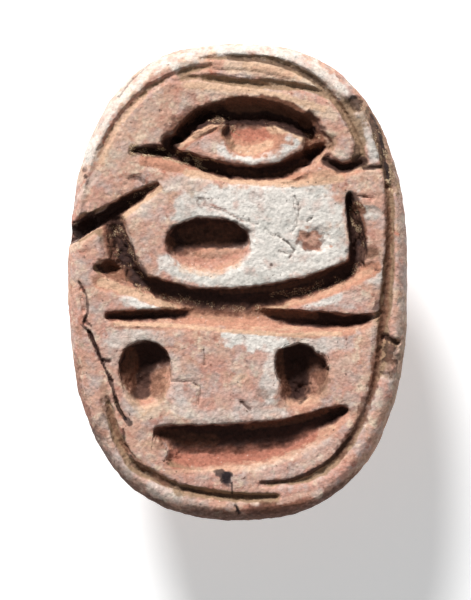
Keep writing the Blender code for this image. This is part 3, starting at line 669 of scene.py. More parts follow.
# The cracks: hairlines that are cut into the face and hold dirt
CRACKS: dict[str, Stroke] = {
    "left_upper": Stroke(((-93, 0), (-88.5, -6), (-88, -13), (-91, -18), (-87, -21)), 0.8, 0.8),
    "left_middle": Stroke(
        ((-87, -21), (-82.5, -28), (-80, -32.5), (-76.5, -38), (-74, -41)), 1.2, 1.0, 0.8
    ),
    "left_branch": Stroke(((-78.5, -32.5), (-75.5, -33)), 1.2, 1.0, 0.6),
    "left_lower": Stroke(((-75, -41), (-72, -47), (-70, -53), (-66, -57)), 1.2, 0.9, 0.6),
    "left_foot": Stroke(((-67, -61), (-66, -68), (-60, -73)), 0.8, 0.7),
    "left_nick": Stroke(((-90, -16.5), (-86, -18)), 1, 0.8),
    "field_across": Stroke(((-39, -41), (-27, -41.5), (-22, -44), (-23, -51)), 0.6, 0.6),
    "field_up": Stroke(((-20, -28), (-19.5, -34.5)), 0.8, 0.6),
    "field_right": Stroke(((2, -50), (7, -53)), 1, 0.8),
    "basin_upper": Stroke(((-19, 32), (-7, 29), (2, 26), (12, 24)), 0.6, 0.5),
    "basin_right": Stroke(((22, 20), (29, 16.5), (33, 13.5)), 0.7, 0.7),
    "basin_far_right": Stroke(((32, 34), (35, 24), (31, 20)), 0.6, 0.5),
    "basin_low": Stroke(((33, 13), (30, 10)), 0.7, 0.6),
    "right_top": Stroke(((74, 47.5), (83, 48)), 1.4, 0.9),
    "rim_upper_left": Stroke(((-70, 77), (-64, 83), (-50, 93)), 0.6, 0.5),
    "brown_mark": Stroke(((-64, 43), (-58, 43.5), (-55, 41.5)), 1.2, 0.7),
    "foot_rim": Stroke(((-1.2, -93.5), (0.5, -96.5)), 0.8, 0.8),
    "right_field": Stroke(((70, 36), (76, 35.5)), 0.8, 0.6),
    "basin_1": Stroke(((33, 36), (36, 31), (35, 27)), 0.6, 0.6),
    "basin_2": Stroke(((40, 25), (44, 27)), 0.6, 0.6),
    "basin_3": Stroke(((24, 13), (29, 12)), 0.6, 0.6),
    "basin_4": Stroke(((16, 22), (21, 19)), 0.5, 0.5),
}

# The chips and worn places, with how deep each is in millimetres. A negative one stands up.
CHIPS: dict[str, tuple[Mark, float]] = {
    "shallow_chip": (Patch(44, 18, 10, 7, 0), 0.09),
    "chip_bump": (Patch(40, 21.5, 3, 2.5, 0), -0.08),
    "brow_left": (Stroke(BROW_LEFT, 3.5, soft=1.2), 0.30),
    "eye_gap": (Stroke(EYE_GAP, 5.5, soft=1.0), 0.35),
    "left_channel_wall": (Stroke(((-77, 21), (-74, 13), (-72, 8)), 4.5, soft=1.0), 0.22),
    "tail": (Stroke(TAIL, 3.5), 0.15),
    "tail_border": (Stroke(TAIL_BORDER, 3.5), 0.09),
    "tail_patch": (Patch(53, 58.5, 5, 5, 30), 0.10),
    "pit_spill": (Patch(37, -50, 13, 8, 5, soft=1.2, ragged=0.15), 0.22),
    "rim_right_high": (Stroke(((80, 70), (86, 58), (91, 42)), 5), 0.22),
    "rim_upper_right": (Patch(69, 74, 5, 5, 0), 0.15),
    "rim_nick": (Stroke(((86, -23), (93, -25)), 2), 0.20),
    "rim_patch": (Patch(89, -32, 5.5, 12, 0, ragged=0.8), 0.10),
    "left_edge": (Patch(-99, 19, 5, 4, 20), 0.30),
    "scar_right": (Patch(76, 29, 9, 3.5, -8), 0.06),
    "left_ring": (Patch(-22.5, 33.5, 2.5, 2, 0), 0.05),
    "top_line_1": (Stroke(((-15, 88.5), (5, 88), (30, 84.5)), 1.2), 0.05),
    "top_line_2": (Stroke(((0, 86.5), (25, 83.5), (50, 79)), 1.2), 0.05),
    "top_line_3": (Stroke(((-20, 84.5), (5, 83.5), (20, 81)), 1.2), 0.05),
    "ledge_under_lid": (Stroke(((-50, 50), (-20, 45.5), (10, 42.5), (40, 44)), 4), 0.07),
    "right_border": (Stroke(RIGHT_BORDER, 3), 0.07),
    "foot_border": (Stroke(FOOT_LINE, 2), 0.08),
    "lower_left": (Stroke(((-78, -50), (-70, -65), (-57, -76.5), (-40, -84.5)), 3), 0.08),
    "crescent_left": (Patch(-42, -75, 5, 3, 0, soft=1.0), 0.05),
    "bowl_left": (Stroke(((-80, 0), (-62, -3.5), (-44, -8.5)), 4), 0.10),
    "bowl_right": (Stroke(((10, -8.5), (40, -5.5), (62, 0), (78, 6)), 3.5), 0.08),
    "large_pit": (Patch(-16.5, 19.5, 21, 7.5, 0, soft=0.8, ragged=0.1), 0.30),
    "right_pit": (Stroke(((36, -34), (35, -40), (34.5, -45)), 7.5, soft=1.2, ragged=0.15), 0.40),
    "left_pit": (Stroke(((-53, -32), (-56, -38), (-57, -44)), 5.5, soft=1.2, ragged=0.2), 0.25),
    "left_channel_join": (Stroke(((-79, 6.2), (-71, 6.8)), 3, soft=1.0), 0.14),
    "bar_left_fill": (Stroke(((-72, -16.8), (-52, -16.3), (-40, -15.8)), 3, soft=1.5), -0.15),
    "eye_lobe": (Stroke(((-25, 63.5), (-13, 68), (-10, 67)), 3.5, soft=1.0), -0.40),
    "right_pit_top": (Stroke(
        ((26, -25), (36, -23.5), (45, -25), (50.5, -29.5), (55, -33.5)), 3.5, soft=1.0, ragged=0.1), -0.55
    ),
    "crescent_fill": (Patch(-50, -70, 10, 7, 0, soft=1.8), -0.80),
    "wrinkle_1": (Stroke(((76, 38.5), (82, 38)), 1.2), -0.07),
    "wrinkle_2": (Stroke(((74, 35.5), (79, 34.5)), 1), 0.06),
    "wrinkle_3": (Stroke(((75, 26.5), (82, 27)), 1.4), -0.07),
    "wrinkle_4": (Patch(77, 21.5, 1.8, 1.4), -0.07),
    "eye_corner": (Stroke(((-41, 58.3), (-36.5, 57.8)), 3.5, soft=1.0), 0.45),
    "slit_end": (Stroke(((-88, 25), (-93, 22.8), (-100, 19.2)), 4.5, soft=0.8), 0.55),
    "eye_tip": (Patch(-33.5, 56.6, 3.5, 2, -15, soft=0.8), -0.70),
    "left_border_fill": (Stroke(
        ((-90, 30), (-86, 41), (-79.5, 55), (-72.5, 66), (-55.5, 77.5), (-40, 85)), 4.5, soft=1.2), -0.09
    ),
    "left_border_low": (Stroke(((-88, -16), (-84, -26), (-79, -37), (-75, -46)), 5, soft=1.2), -0.14),
    "gap_fill": (Patch(46.5, 58.5, 4.5, 3, 20, soft=1.2), -0.20),
    "foot_border_end": (Stroke(((30, -89.3), (46, -88.5)), 5, soft=1.9), -0.13),
    "lid_foot_fill": (Stroke(
        ((0, 44.2), (8, 43.4), (20, 42.8), (32, 44.4), (38, 46.5)), 3, soft=1.4), -0.22
    ),
}


@dataclass(frozen=True)
class Wear:
    """How worn and rough the stone is. Sizes, depths and reaches are in millimetres."""

    coarse_size: float = 0.6
    coarse_shift: float = 0.07
    fine_size: float = 0.2
    fine_shift: float = 0.04
    upright_share: float = 0.4
    open_shift: float = 0.35
    cut_depths: Span = (0.05, 0.25)
    swell_size: float = 2.4
    swell_depth: float = 0.04
    bump_size: float = 0.6
    bump_depth: float = 0.012
    grit_size: float = 0.11
    grit_depth: float = 0.045
    open_grit: float = 0.15
    pore_size: float = 0.22
    pore_depth: float = 0.02
    pore_levels: Span = (0.25, 0.6)
    wrinkle_size: float = 0.33
    wrinkle_depth: float = 0.02
    crack_depth: float = 0.12
    crack_raggedness: float = 0.8
    chip_roughness: float = 0.35
    lip_share: float = 0.28
    rim_fall: float = 0.18
    rim_levels: Span = (0.93, 1.0)
    deepening: float = 0.10
    deep_depths: Span = (0.1, 0.8)
    edge_size: float = 0.35
    fine_edge_size: float = 0.14
    fine_edge_share: float = 0.6
    map_pitch: float = 0.04
    lip_reaches: tuple[float, ...] = (0.08, 0.16, 0.24)
    edge_reaches: tuple[float, ...] = (0.04, 0.08)
    shelter_reaches: tuple[float, ...] = (0.12, 0.24, 0.40, 0.60, 0.85, 1.15)


@dataclass(frozen=True)
class DirtAndPaintedLight:
    """Where the form of the cuts brings soil and bare stone, and painted light and shade: lit colours on the
    walls and lips that face the light, dark ones where the stone is sheltered from it.

    Depths, falls, sizes and blurs are in millimetres, shelters are slopes, and the rest are shares.
    """

    wander: float = 0.05
    wander_size: float = 0.3
    shelter_blur: float = 0.06
    lip_blur: float = 0.05
    edge_blur: float = 0.04
    depth_blur: float = 0.05
    shelter_roughness: float = 0.12
    patch_size: float = 0.7
    patch_levels: Span = (-0.5, 0.5)
    border_levels: Span = (0.77, 0.82)
    border_depths: Span = (0.60, 0.40)
    border_umber_and_shade: float = 0.85
    border_grime_and_shade: float = 0.7
    # Painted light: ochre on cut walls that face the light and on the lips below a cut towards the light
    ochre_and_light: float = 0.85
    ochre_and_light_depths: Span = (0.10, 0.30)
    lit_shelters: Span = (0.7, 0.3)
    lit_lip_falls: Span = (0.05, 0.25)
    lit_lip_ochre: Span = (0.45, 0.4)
    # Painted highlight: tan on the narrow lips below a cut towards the light
    lip_highlight: Span = (0.3, 0.6)
    highlight_falls: Span = (0.04, 0.16)
    khaki: float = 0.9
    khaki_depths: Span = (0.05, 0.14)
    khaki_ends: Span = (0.45, 0.28)
    # Painted shade: a brown fringe round the shadows in the cuts, by how sheltered from the light a place is
    umber_and_shade: float = 0.85
    umber_and_shade_depths: Span = (0.05, 0.16)
    penumbra_shelters: Span = (0.18, 0.55)
    # Painted shade: how deep and how sheltered from the light a place must be to be painted dark
    grime_and_shade_depths: Span = (0.16, 0.38)
    shade_shelters: Span = (0.42, 0.80)
    far_umber: float = 0.85
    far_umber_depths: Span = (0.012, 0.06)
    far_khaki: float = 0.7
    far_khaki_depths: Span = (0.0, 0.03)
    far_cream: float = 0.8
    grit_size: float = 0.32
    grit_levels: Span = (-0.45, 0.15)


class Group:
    """A node group under construction: an effect that the material uses several times."""

    def __init__(self, name: str, own: str) -> None:
        """Starts a group that changes a colour.

        Args:
            name: The group's name.
            own: The input that this effect has beside the ones that all have.
        """
        self.tree = bpy.data.node_groups.new(name, "ShaderNodeTree")
        sockets = self.tree.interface
        for label in ("Colour", "Tone"):
            sockets.new_socket(label, in_out="INPUT", socket_type="NodeSocketColor")
        for label in (own, "Scale", "Low", "High"):
            sockets.new_socket(label, in_out="INPUT", socket_type="NodeSocketFloat")
        sockets.new_socket("Colour", in_out="OUTPUT", socket_type="NodeSocketColor")
        self.given = self.tree.nodes.new("NodeGroupInput").outputs
        self.result = self.tree.nodes.new("NodeGroupOutput").inputs["Colour"]

    def noise(self, detail: float) -> bpy.types.NodeSocket:
        """Noise in the stone, as fine as the group's Scale input says.

        Args:
            detail: How many finer layers it has.

        Returns:
            A value about 0.5.
        """
        place = self.tree.nodes.new("ShaderNodeTexCoord")
        texture = self.tree.nodes.new("ShaderNodeTexNoise")
        texture.inputs["Detail"].default_value = detail
        self.tree.links.new(place.outputs["Object"], texture.inputs["Vector"])
        self.tree.links.new(self.given["Scale"], texture.inputs["Scale"])
        return texture.outputs["Fac"]

    def spread(self, value: bpy.types.NodeSocket) -> bpy.types.NodeSocket:
        """Spreads a value from the group's Low and High inputs to 0 and 1.

        Args:
            value: The value.

        Returns:
            A share.
        """
        spread = self.tree.nodes.new("ShaderNodeMapRange")
        self.tree.links.new(value, spread.inputs["Value"])
        self.tree.links.new(self.given["Low"], spread.inputs["From Min"])
        self.tree.links.new(self.given["High"], spread.inputs["From Max"])
        return spread.outputs["Result"]

    def math(self, operation: str, *values: bpy.types.NodeSocket | float) -> bpy.types.NodeSocket:
        """Works something out.

        Args:
            operation: The math node's operation.
            values: Its sockets or numbers, in order.

        Returns:
            The result.
        """
        node = self.tree.nodes.new("ShaderNodeMath")
        node.operation = operation
        for slot, value in zip(node.inputs, values):
            if isinstance(value, bpy.types.NodeSocket):
                self.tree.links.new(value, slot)
            else:
                slot.default_value = value
        return node.outputs[0]

    def finish(self, share: bpy.types.NodeSocket) -> bpy.types.NodeTree:
        """Mixes the group's Tone over its colour, and closes the group.

        Args:
            share: How much of the tone shows.

        Returns:
            The group.
        """
        mix = self.tree.nodes.new("ShaderNodeMix")
        mix.data_type = "RGBA"
        self.tree.links.new(share, mix.inputs[0])
        self.tree.links.new(self.given["Colour"], mix.inputs[6])
        self.tree.links.new(self.given["Tone"], mix.inputs[7])
        self.tree.links.new(mix.outputs[2], self.result)
        return self.tree


@dataclass(frozen=True)
class Cloud:
    """A tone that shows in clouds or specks, where noise is high."""

    tone: Tone
    size_mm: float
    low: float
    high: float
    amount: float = 1.0


@dataclass(frozen=True)
class Coat:
    """A painted layer, whose edge noise breaks up."""

    layer: Layer
    tone: Tone
    size_mm: float
    low: float
    high: float


EFFECTS: tuple[Cloud | Coat, ...] = (
    Cloud(Tone.ROSE, 1.1, 0.40, 0.58),
    Cloud(Tone.BUFF, 0.9, 0.56, 0.74),
    Cloud(Tone.MAUVE, 0.55, 0.50, 0.66),
    Cloud(Tone.CREAM, 0.38, 0.54, 0.69),
    Cloud(Tone.RED, 0.30, 0.55, 0.74),
    Coat(Layer.CREAM, Tone.CREAM, 0.40, 0.60, 1.30),
    Coat(Layer.GLAZE, Tone.GLAZE, 0.40, 0.62, 1.30),
    Cloud(Tone.ROSE, 0.50, 0.54, 0.70, 0.5),
    Cloud(Tone.GREY, 0.60, 0.52, 0.66, 0.4),
    Coat(Layer.GREY, Tone.GREY, 0.35, 0.65, 1.35),
    Coat(Layer.OCHRE_AND_LIGHT, Tone.OCHRE_AND_LIGHT, 0.30, 0.60, 1.15),
    Coat(Layer.TAN, Tone.TAN, 0.16, 0.65, 1.15),
    Coat(Layer.RED, Tone.RED, 0.25, 0.65, 1.15),
    Cloud(Tone.FLECK, 0.15, 0.66, 0.74, 0.8),
    Cloud(Tone.PALE, 0.12, 0.66, 0.76, 0.7),
    Coat(Layer.KHAKI, Tone.KHAKI, 0.14, 0.65, 1.25),
    Coat(Layer.UMBER_AND_SHADE, Tone.UMBER_AND_SHADE, 0.14, 0.65, 1.20),
    Coat(Layer.GRIME_AND_SHADE, Tone.GRIME_AND_SHADE, 0.15, 0.65, 1.00),
    Coat(Layer.DUST, Tone.DUST, 0.14, 0.65, 1.25),
    Coat(Layer.STAIN, Tone.STAIN, 0.18, 0.65, 1.00),
    Coat(Layer.GRIT, Tone.DUST, 0.10, 1.22, 1.52),
    Coat(Layer.GRIT, Tone.GRIT, 0.05, 1.32, 1.50),
)


@dataclass(frozen=True)
class Finish:
    """The stone's finish, which the vertex attributes steer."""

    roughness: float = 0.8
    shine: float = 0.12
    lift: float = 0.9
    cloud_detail: float = 6.0
    grain_detail: float = 5.0
    grain_mm: float = 0.11
    grain_levels: Span = (0.3, 0.7)
    grain_dark: float = 0.80
    grain_light: float = 1.18
    bump_size_mm: float = 0.16
    bump_mm: float = 0.06

    def material(self) -> bpy.types.Material:
        """Makes the material: the bare stone's clouds, the painted layers, specks and a fine grain.

        Returns:
            The material.
        """
        material = bpy.data.materials.new("worn_glazed_steatite")
        material.use_nodes = True
        nodes = material.node_tree.nodes
        links = material.node_tree.links
        shader = nodes["Principled BSDF"]
        cloud_group = self.cloud_group()
        coat_group = self.coat_group()
        stone = nodes.new("ShaderNodeRGB").outputs[0]
        stone.default_value = Tone.PINK.linear()
        colour: bpy.types.NodeSocket = stone
        for effect in EFFECTS:
            node = nodes.new("ShaderNodeGroup")
            node.node_tree = coat_group if isinstance(effect, Coat) else cloud_group
            node.inputs["Tone"].default_value = effect.tone.linear()
            node.inputs["Scale"].default_value = 1 / (effect.size_mm * MM)
            node.inputs["Low"].default_value = effect.low
            node.inputs["High"].default_value = effect.high
            if isinstance(effect, Coat):
                attribute = nodes.new("ShaderNodeAttribute")
                attribute.attribute_name = effect.layer.value
                links.new(attribute.outputs["Fac"], node.inputs["Mask"])
            else:
                node.inputs["Amount"].default_value = effect.amount
            links.new(colour, node.inputs["Colour"])
            colour = node.outputs["Colour"]
        shade = nodes.new("ShaderNodeMapRange")
        shade.inputs["From Min"].default_value = self.grain_levels[0]
        shade.inputs["From Max"].default_value = self.grain_levels[1]
        shade.inputs["To Min"].default_value = self.grain_dark
        shade.inputs["To Max"].default_value = self.grain_light
        links.new(self.noise(material.node_tree, self.grain_mm), shade.inputs["Value"])
        grainy = nodes.new("ShaderNodeMix")
        grainy.data_type = "RGBA"
        grainy.blend_type = "MULTIPLY"
        grainy.inputs[0].default_value = 1.0
        links.new(colour, grainy.inputs[6])
        links.new(shade.outputs["Result"], grainy.inputs[7])
        links.new(grainy.outputs[2], shader.inputs["Base Color"])
        shader.inputs["Roughness"].default_value = self.roughness
        shader.inputs["Specular IOR Level"].default_value = self.shine
        bump = nodes.new("ShaderNodeBump")
        bump.inputs["Distance"].default_value = self.bump_mm * MM
        links.new(self.noise(material.node_tree, self.bump_size_mm), bump.inputs["Height"])
        links.new(bump.outputs["Normal"], shader.inputs["Normal"])
        return material

    def noise(self, tree: bpy.types.NodeTree, size_mm: float) -> bpy.types.NodeSocket:
        """Fine noise in the stone.

        Args:
            tree: The material's nodes and links.
            size_mm: How large the lumps are.

        Returns:
            A value about 0.5.
        """
        place = tree.nodes.new("ShaderNodeTexCoord")
        texture = tree.nodes.new("ShaderNodeTexNoise")
        texture.inputs["Scale"].default_value = 1 / (size_mm * MM)
        texture.inputs["Detail"].default_value = self.grain_detail
        tree.links.new(place.outputs["Object"], texture.inputs["Vector"])
        return texture.outputs["Fac"]

    def cloud_group(self) -> bpy.types.NodeTree:
        """Makes the group that mixes in a tone where noise is high.

        Returns:
            The group.
        """
        group = Group("cloud", "Amount")
        clouds = group.spread(group.noise(self.cloud_detail))
        return group.finish(group.math("MULTIPLY", clouds, group.given["Amount"]))

    def coat_group(self) -> bpy.types.NodeTree:
        """Makes the group that mixes in a tone where its mask says, with an edge that noise breaks up.

        Returns:
            The group.
        """
        group = Group("coat", "Mask")
        mask = group.given["Mask"]
        ragged = group.spread(group.math("MULTIPLY_ADD", mask, self.lift, group.noise(self.cloud_detail)))
        return group.finish(group.math("MULTIPLY", ragged, mask))


@dataclass(frozen=True)
class DepthMap:
    """How deep the carved side lies below the face, in millimetres, over an even grid of places."""

    depths: np.ndarray
    left: float
    low: float
    pitch: float

    @classmethod
    def of(cls, piece: bpy.types.Object, face: Face, pitch_mm: float) -> "DepthMap":
        """Reads the depths off a piece from above.

        Args:
            piece: The piece.
            face: The carved face.
            pitch_mm: How far the places are apart.

        Returns:
            The map.
        """
        tree = BVHTree.FromObject(piece, bpy.context.evaluated_depsgraph_get())
        pitch = pitch_mm * MM
        left = -face.half_width - MM / 2
        low = -face.half_length - MM / 2
        columns = math.ceil(-2 * left / pitch)
        rows = math.ceil(-2 * low / pitch)
        down = Vector((0, 0, -1))
        start = face.height + MM
        depths = np.zeros((rows, columns))
        along, across = np.mgrid[0:rows, 0:columns] * pitch
        level = face.level(np.column_stack((left + across.ravel(), low + along.ravel())))
        for cell in np.flatnonzero(level < face.rim_level).tolist():
            row, column = divmod(cell, columns)
            hit = tree.ray_cast(Vector((left + column * pitch, low + row * pitch, start)), down)[3]
            depths[row, column] = hit / MM - 1
        return cls(depths, left, low, pitch)

    def shifted(self, right_mm: float, up_mm: float) -> np.ndarray:
        """What lies beside each place.

        Args:
            right_mm: How far to the right.
            up_mm: How far up.

        Returns:
            The depth there, per place.
        """
        columns = round(right_mm * MM / self.pitch)
        rows = round(up_mm * MM / self.pitch)
        return np.roll(self.depths, (-rows, -columns), axis=(0, 1))

    def blurred(self, reach_mm: float) -> "DepthMap":
        """Softens the map.

        Args:
            reach_mm: How far the softening reaches.

        Returns:
            The softened map.
        """
        cells = reach_mm * MM / self.pitch
        depths = self.depths
        for axis in (0, 1):
            total = np.zeros_like(depths)
            weights = 0.0
            for offset in range(-math.ceil(2 * cells), math.ceil(2 * cells) + 1):
                weight = math.exp(-((offset / cells) ** 2))
                total += weight * np.roll(depths, offset, axis=axis)
                weights += weight
            depths = total / weights
        return self.with_values(depths)

    def with_values(self, values: np.ndarray) -> "DepthMap":
        """A map of something else over the same places.

        Args:
            values: The values.

        Returns:
            The map.
        """
        return DepthMap(values, self.left, self.low, self.pitch)

    def sheltered(self, towards: tuple[float, float], reaches_mm: tuple[float, ...]) -> "DepthMap":
        """How steeply the stone rises from each place towards the light.

        Args:
            towards: The light's direction along the face.
            reaches_mm: How far away to look.

        Returns:
            The steepest rise.
        """
        rises = [(self.depths - self.shifted(towards[0] * r, towards[1] * r)) / r for r in reaches_mm]
        return self.with_values(np.max(rises, axis=0))

    def lip(self, towards: tuple[float, float], reaches_mm: tuple[float, ...]) -> "DepthMap":
        """How much deeper the cut is that each place borders towards the light.

        Args:
            towards: The light's direction along the face.
            reaches_mm: How far away to look.

        Returns:
            The fall, in millimetres.
        """
        falls = [self.shifted(towards[0] * r, towards[1] * r) - self.depths for r in reaches_mm]
        return self.with_values(np.maximum(np.mean(falls, axis=0), 0.0))

    def at(self, points: np.ndarray) -> np.ndarray:
        """Reads the map.

        Args:
            points: Places in metres, one row each.

        Returns:
            The value at each place.
        """
        across = np.clip((points[:, 0] - self.left) / self.pitch, 0, self.depths.shape[1] - 1.001)
        along = np.clip((points[:, 1] - self.low) / self.pitch, 0, self.depths.shape[0] - 1.001)
        column = across.astype(int)
        row = along.astype(int)
        right = across - column
        up = along - row
        lower = self.depths[row, column] * (1 - right) + self.depths[row, column + 1] * right
        upper = self.depths[row + 1, column] * (1 - right) + self.depths[row + 1, column + 1] * right
        return lower * (1 - up) + upper * up


@dataclass(frozen=True)
class Form:
    """The form of the piece's mesh, which the wear and the paint follow."""

    points: np.ndarray
    normals: np.ndarray
    depths: DepthMap
    level: np.ndarray
    depth_mm: np.ndarray
    rough: np.ndarray
    sunk_mm: np.ndarray
    face_depths: Span = (1.6, 1.2)
    face_levels: Span = (0.985, 0.95)
    near_depths: Span = (2.4, 1.5)

    @classmethod
    def of(cls, piece: bpy.types.Object, face: Face, wear: Wear) -> "Form":
        """Reads the form off the piece.

        Args:
            piece: The piece.
            face: The carved face.
            wear: The wear, for the depth map's pitch and the size of ragged edges.

        Returns:
            The form.
        """
        values = {}
        for name in ("co", "normal"):
            flat = np.empty(len(piece.data.vertices) * 3)
            piece.data.vertices.foreach_get(name, flat)
            values[name] = flat.reshape(-1, 3)
        points = values["co"]
        rough = grain(points, wear.edge_size, 7)
        rough += wear.fine_edge_share * grain(points, wear.fine_edge_size, 8)
        depth_mm = (face.height - points[:, 2]) / MM
        depths = DepthMap.of(piece, face, wear.map_pitch)
        inwards = smoothed(piece, points) - points
        sunk_mm = np.sum(inwards * values["normal"], axis=1) / MM
        return cls(points, values["normal"], depths, face.level(points), depth_mm, rough, sunk_mm)

    def on_face(self) -> np.ndarray:
        """Gives 1 on the carved face and in its cuts, and 0 on the rim and the rest."""
        return step(*self.face_depths, self.depth_mm) * step(*self.face_levels, self.level)

    def near_face(self) -> np.ndarray:
        """Gives 1 on the carved face and the rim, and 0 further down."""
        return step(*self.near_depths, self.depth_mm)


@dataclass
class CarvedScarab:
    """The amulet: one piece that keeps the CAD solid's form and adds its wear, chips and soil, and painted
    light and shade in its cuts and on its rim.
    """

    face: Face
    wear: Wear = Wear()
    dirt_and_light: DirtAndPaintedLight = DirtAndPaintedLight()
    finish: Finish = Finish()
    voxel_mm: float = 0.062
    triangles: int = 195_000
    fine_depth_mm: float = 1.15
    fine_level: float = 0.985
    fine_side_mm: float = 0.45

    def build(self) -> bpy.types.Object:
        """Makes the piece's mesh.

        Returns:
            The piece.
        """
        piece = self.copy_of_node()
        self.remesh(piece)
        self.carve(piece, Form.of(piece, self.face, self.wear))
        self.thin(piece)
        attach(piece, "root")
        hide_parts(NODE)
        return piece

    def copy_of_node(self) -> bpy.types.Object:
        """Copies the CAD node, merged into one closed mesh.

        Returns:
            The copy.
        """
        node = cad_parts[NODE]
        piece = bpy.data.objects.new("carved_scarab", node.data.copy())
        bpy.context.scene.collection.objects.link(piece)
        piece.data.name = piece.name
        bpy.ops.object.select_all(action="DESELECT")
        piece.select_set(True)
        bpy.context.view_layer.objects.active = piece
        bpy.ops.object.mode_set(mode="EDIT")
        bpy.ops.mesh.select_all(action="SELECT")
        bpy.ops.mesh.remove_doubles(threshold=0.001 * MM)
        bpy.ops.mesh.normals_make_consistent(inside=False)
        bpy.ops.object.mode_set(mode="OBJECT")
        return piece

    def remesh(self, piece: bpy.types.Object) -> None:
        """Makes an even mesh.

        Args:
            piece: The piece.
        """
        even = piece.modifiers.new("even", "REMESH")
        even.mode = "VOXEL"
        even.voxel_size = self.voxel_mm * MM
        bpy.ops.object.modifier_apply(modifier=even.name)
        soften = piece.modifiers.new("soften", "SMOOTH")
        soften.factor = 0.5
        soften.iterations = 2
        bpy.ops.object.modifier_apply(modifier=soften.name)

    def thin(self, piece: bpy.types.Object) -> None:
        """Makes the mesh coarser away from the carved face.

        Args:
            piece: The piece.
        """
        form = Form.of(piece, self.face, self.wear)
        side = (form.level > self.fine_level) & (form.depth_mm > self.fine_side_mm)
        outer = np.flatnonzero((form.depth_mm > self.fine_depth_mm) | side).tolist()
        coarse = piece.vertex_groups.new(name="coarse")
        coarse.add(outer, 1.0, "REPLACE")
        thin = piece.modifiers.new("thin", "DECIMATE")
        thin.ratio = self.triangles / (2 * len(piece.data.polygons))
        thin.vertex_group = coarse.name
        whole = len(piece.data.vertices)
        bpy.ops.object.modifier_apply(modifier=thin.name)
        piece.vertex_groups.clear()
        left = len(piece.data.vertices)
        LOG.info("mesh: %d of %d vertices are fine, %d left", whole - len(outer), whole, left)

    def carve(self, piece: bpy.types.Object, form: Form) -> None:
        """Wears the mesh and adds its chips and cracks.

        Args:
            piece: The piece.
            form: Its unworn form.
        """
        wear = self.wear
        points = form.points
        on_face = form.on_face()
        near_face = form.near_face()
        cut = on_face * step(*wear.cut_depths, form.depth_mm)
        shift = drift(points, wear.coarse_size, 1) * wear.coarse_shift
        shift += drift(points, wear.fine_size, 2) * wear.fine_shift
        shift[:, 2] *= wear.upright_share
        moved = points + shift * MM * (wear.open_shift + (1 - wear.open_shift) * cut)[:, None]

        relief = grain(points, wear.swell_size, 3) * wear.swell_depth
        relief += grain(points, wear.bump_size, 6) * wear.bump_depth
        relief += grain(points, wear.wrinkle_size, 9) * wear.wrinkle_depth
        gritty = wear.open_grit + (1 - wear.open_grit) * cut
        relief += grain(points, wear.grit_size, 4) * wear.grit_depth * gritty
        relief -= wear.pore_depth * step(*wear.pore_levels, grain(points, wear.pore_size, 5))
        moved += form.normals * (relief * MM)[:, None]

        lip_mm = form.depths.lip(TOWARDS_LIGHT, wear.lip_reaches).at(points)
        sink = wear.lip_share * lip_mm * on_face
        sink += wear.rim_fall * step(*wear.rim_levels, form.level) * near_face
        sink += wear.deepening * on_face * step(*wear.deep_depths, form.depth_mm)
        uneven = 1 + wear.chip_roughness * form.rough
        for mark, depth in CHIPS.values():
            sink += depth * near_face * mark.mask(points, self.face, form.rough) * uneven
        for mask in self.crack_masks(form):
            sink += wear.crack_depth * near_face * mask
        moved[:, 2] -= sink * MM
        moved[:, 2] = np.clip(moved[:, 2], 0.0, self.face.height)
        piece.data.vertices.foreach_set("co", moved.ravel())
        piece.data.update()

    def crack_masks(self, form: Form) -> list[np.ndarray]:
        """Gives how much of each crack is at each vertex."""
        rough = form.rough * self.wear.crack_raggedness
        return [crack.mask(form.points, self.face, rough) for crack in CRACKS.values()]

    def dress(self, piece: bpy.types.Object) -> None:
        """Gives the piece its layers and its finish.

        Args:
            piece: The piece.
        """
        for layer, values in self.layers(Form.of(piece, self.face, self.wear)).items():
            attribute = piece.data.attributes.new(layer.value, "FLOAT", "POINT")
            attribute.data.foreach_set("value", np.clip(values, 0.0, 1.0).astype(np.float32))
        piece.data.materials.clear()
        piece.data.materials.append(self.finish.material())
        bpy.ops.object.select_all(action="DESELECT")
        piece.select_set(True)
        bpy.context.view_layer.objects.active = piece
        bpy.ops.object.shade_smooth()
        LOG.info("%s: %d triangles", piece.name, sum(len(p.vertices) - 2 for p in piece.data.polygons))

    def layers(self, form: Form) -> dict[Layer, np.ndarray]:
        """Works out where the layers lie: the painted marks, and what the form of the cuts brings, which is
        partly painted light and shade on the walls and lips that face or are sheltered from the light.

        Args:
            form: The piece's worn form.

        Returns:
            How much of each layer is at each vertex.
        """
        wear = self.wear
        dirt_and_light = self.dirt_and_light
        near_face = form.near_face()
        on_face = form.on_face()
        layers = {layer: np.zeros(len(form.points)) for layer in Layer}
        for layer, marks in PAINT.items():
            for mark in marks.values():
                mask = mark.mask(form.points, self.face, form.rough)
                layers[layer] = np.maximum(layers[layer], mask * near_face)

        places = form.points + dirt_and_light.wander * MM * drift(form.points, dirt_and_light.wander_size, 11)
        slopes = form.depths.sheltered(TOWARDS_LIGHT, wear.shelter_reaches)
        sheltered = slopes.blurred(dirt_and_light.shelter_blur).at(places)
        lip_mm = form.depths.lip(TOWARDS_LIGHT, wear.lip_reaches).blurred(dirt_and_light.lip_blur).at(places)
        edge_mm = form.depths.lip(TOWARDS_LIGHT, wear.edge_reaches).blurred(dirt_and_light.edge_blur).at(places)
        hollow = form.depths.blurred(dirt_and_light.depth_blur).at(places)
        ragged = sheltered + dirt_and_light.shelter_roughness * form.rough
        border = step(*dirt_and_light.border_levels, form.level)
        shallow = border * step(*dirt_and_light.border_depths, hollow)
        patchy = step(*dirt_and_light.patch_levels, grain(form.points, dirt_and_light.patch_size, 13))

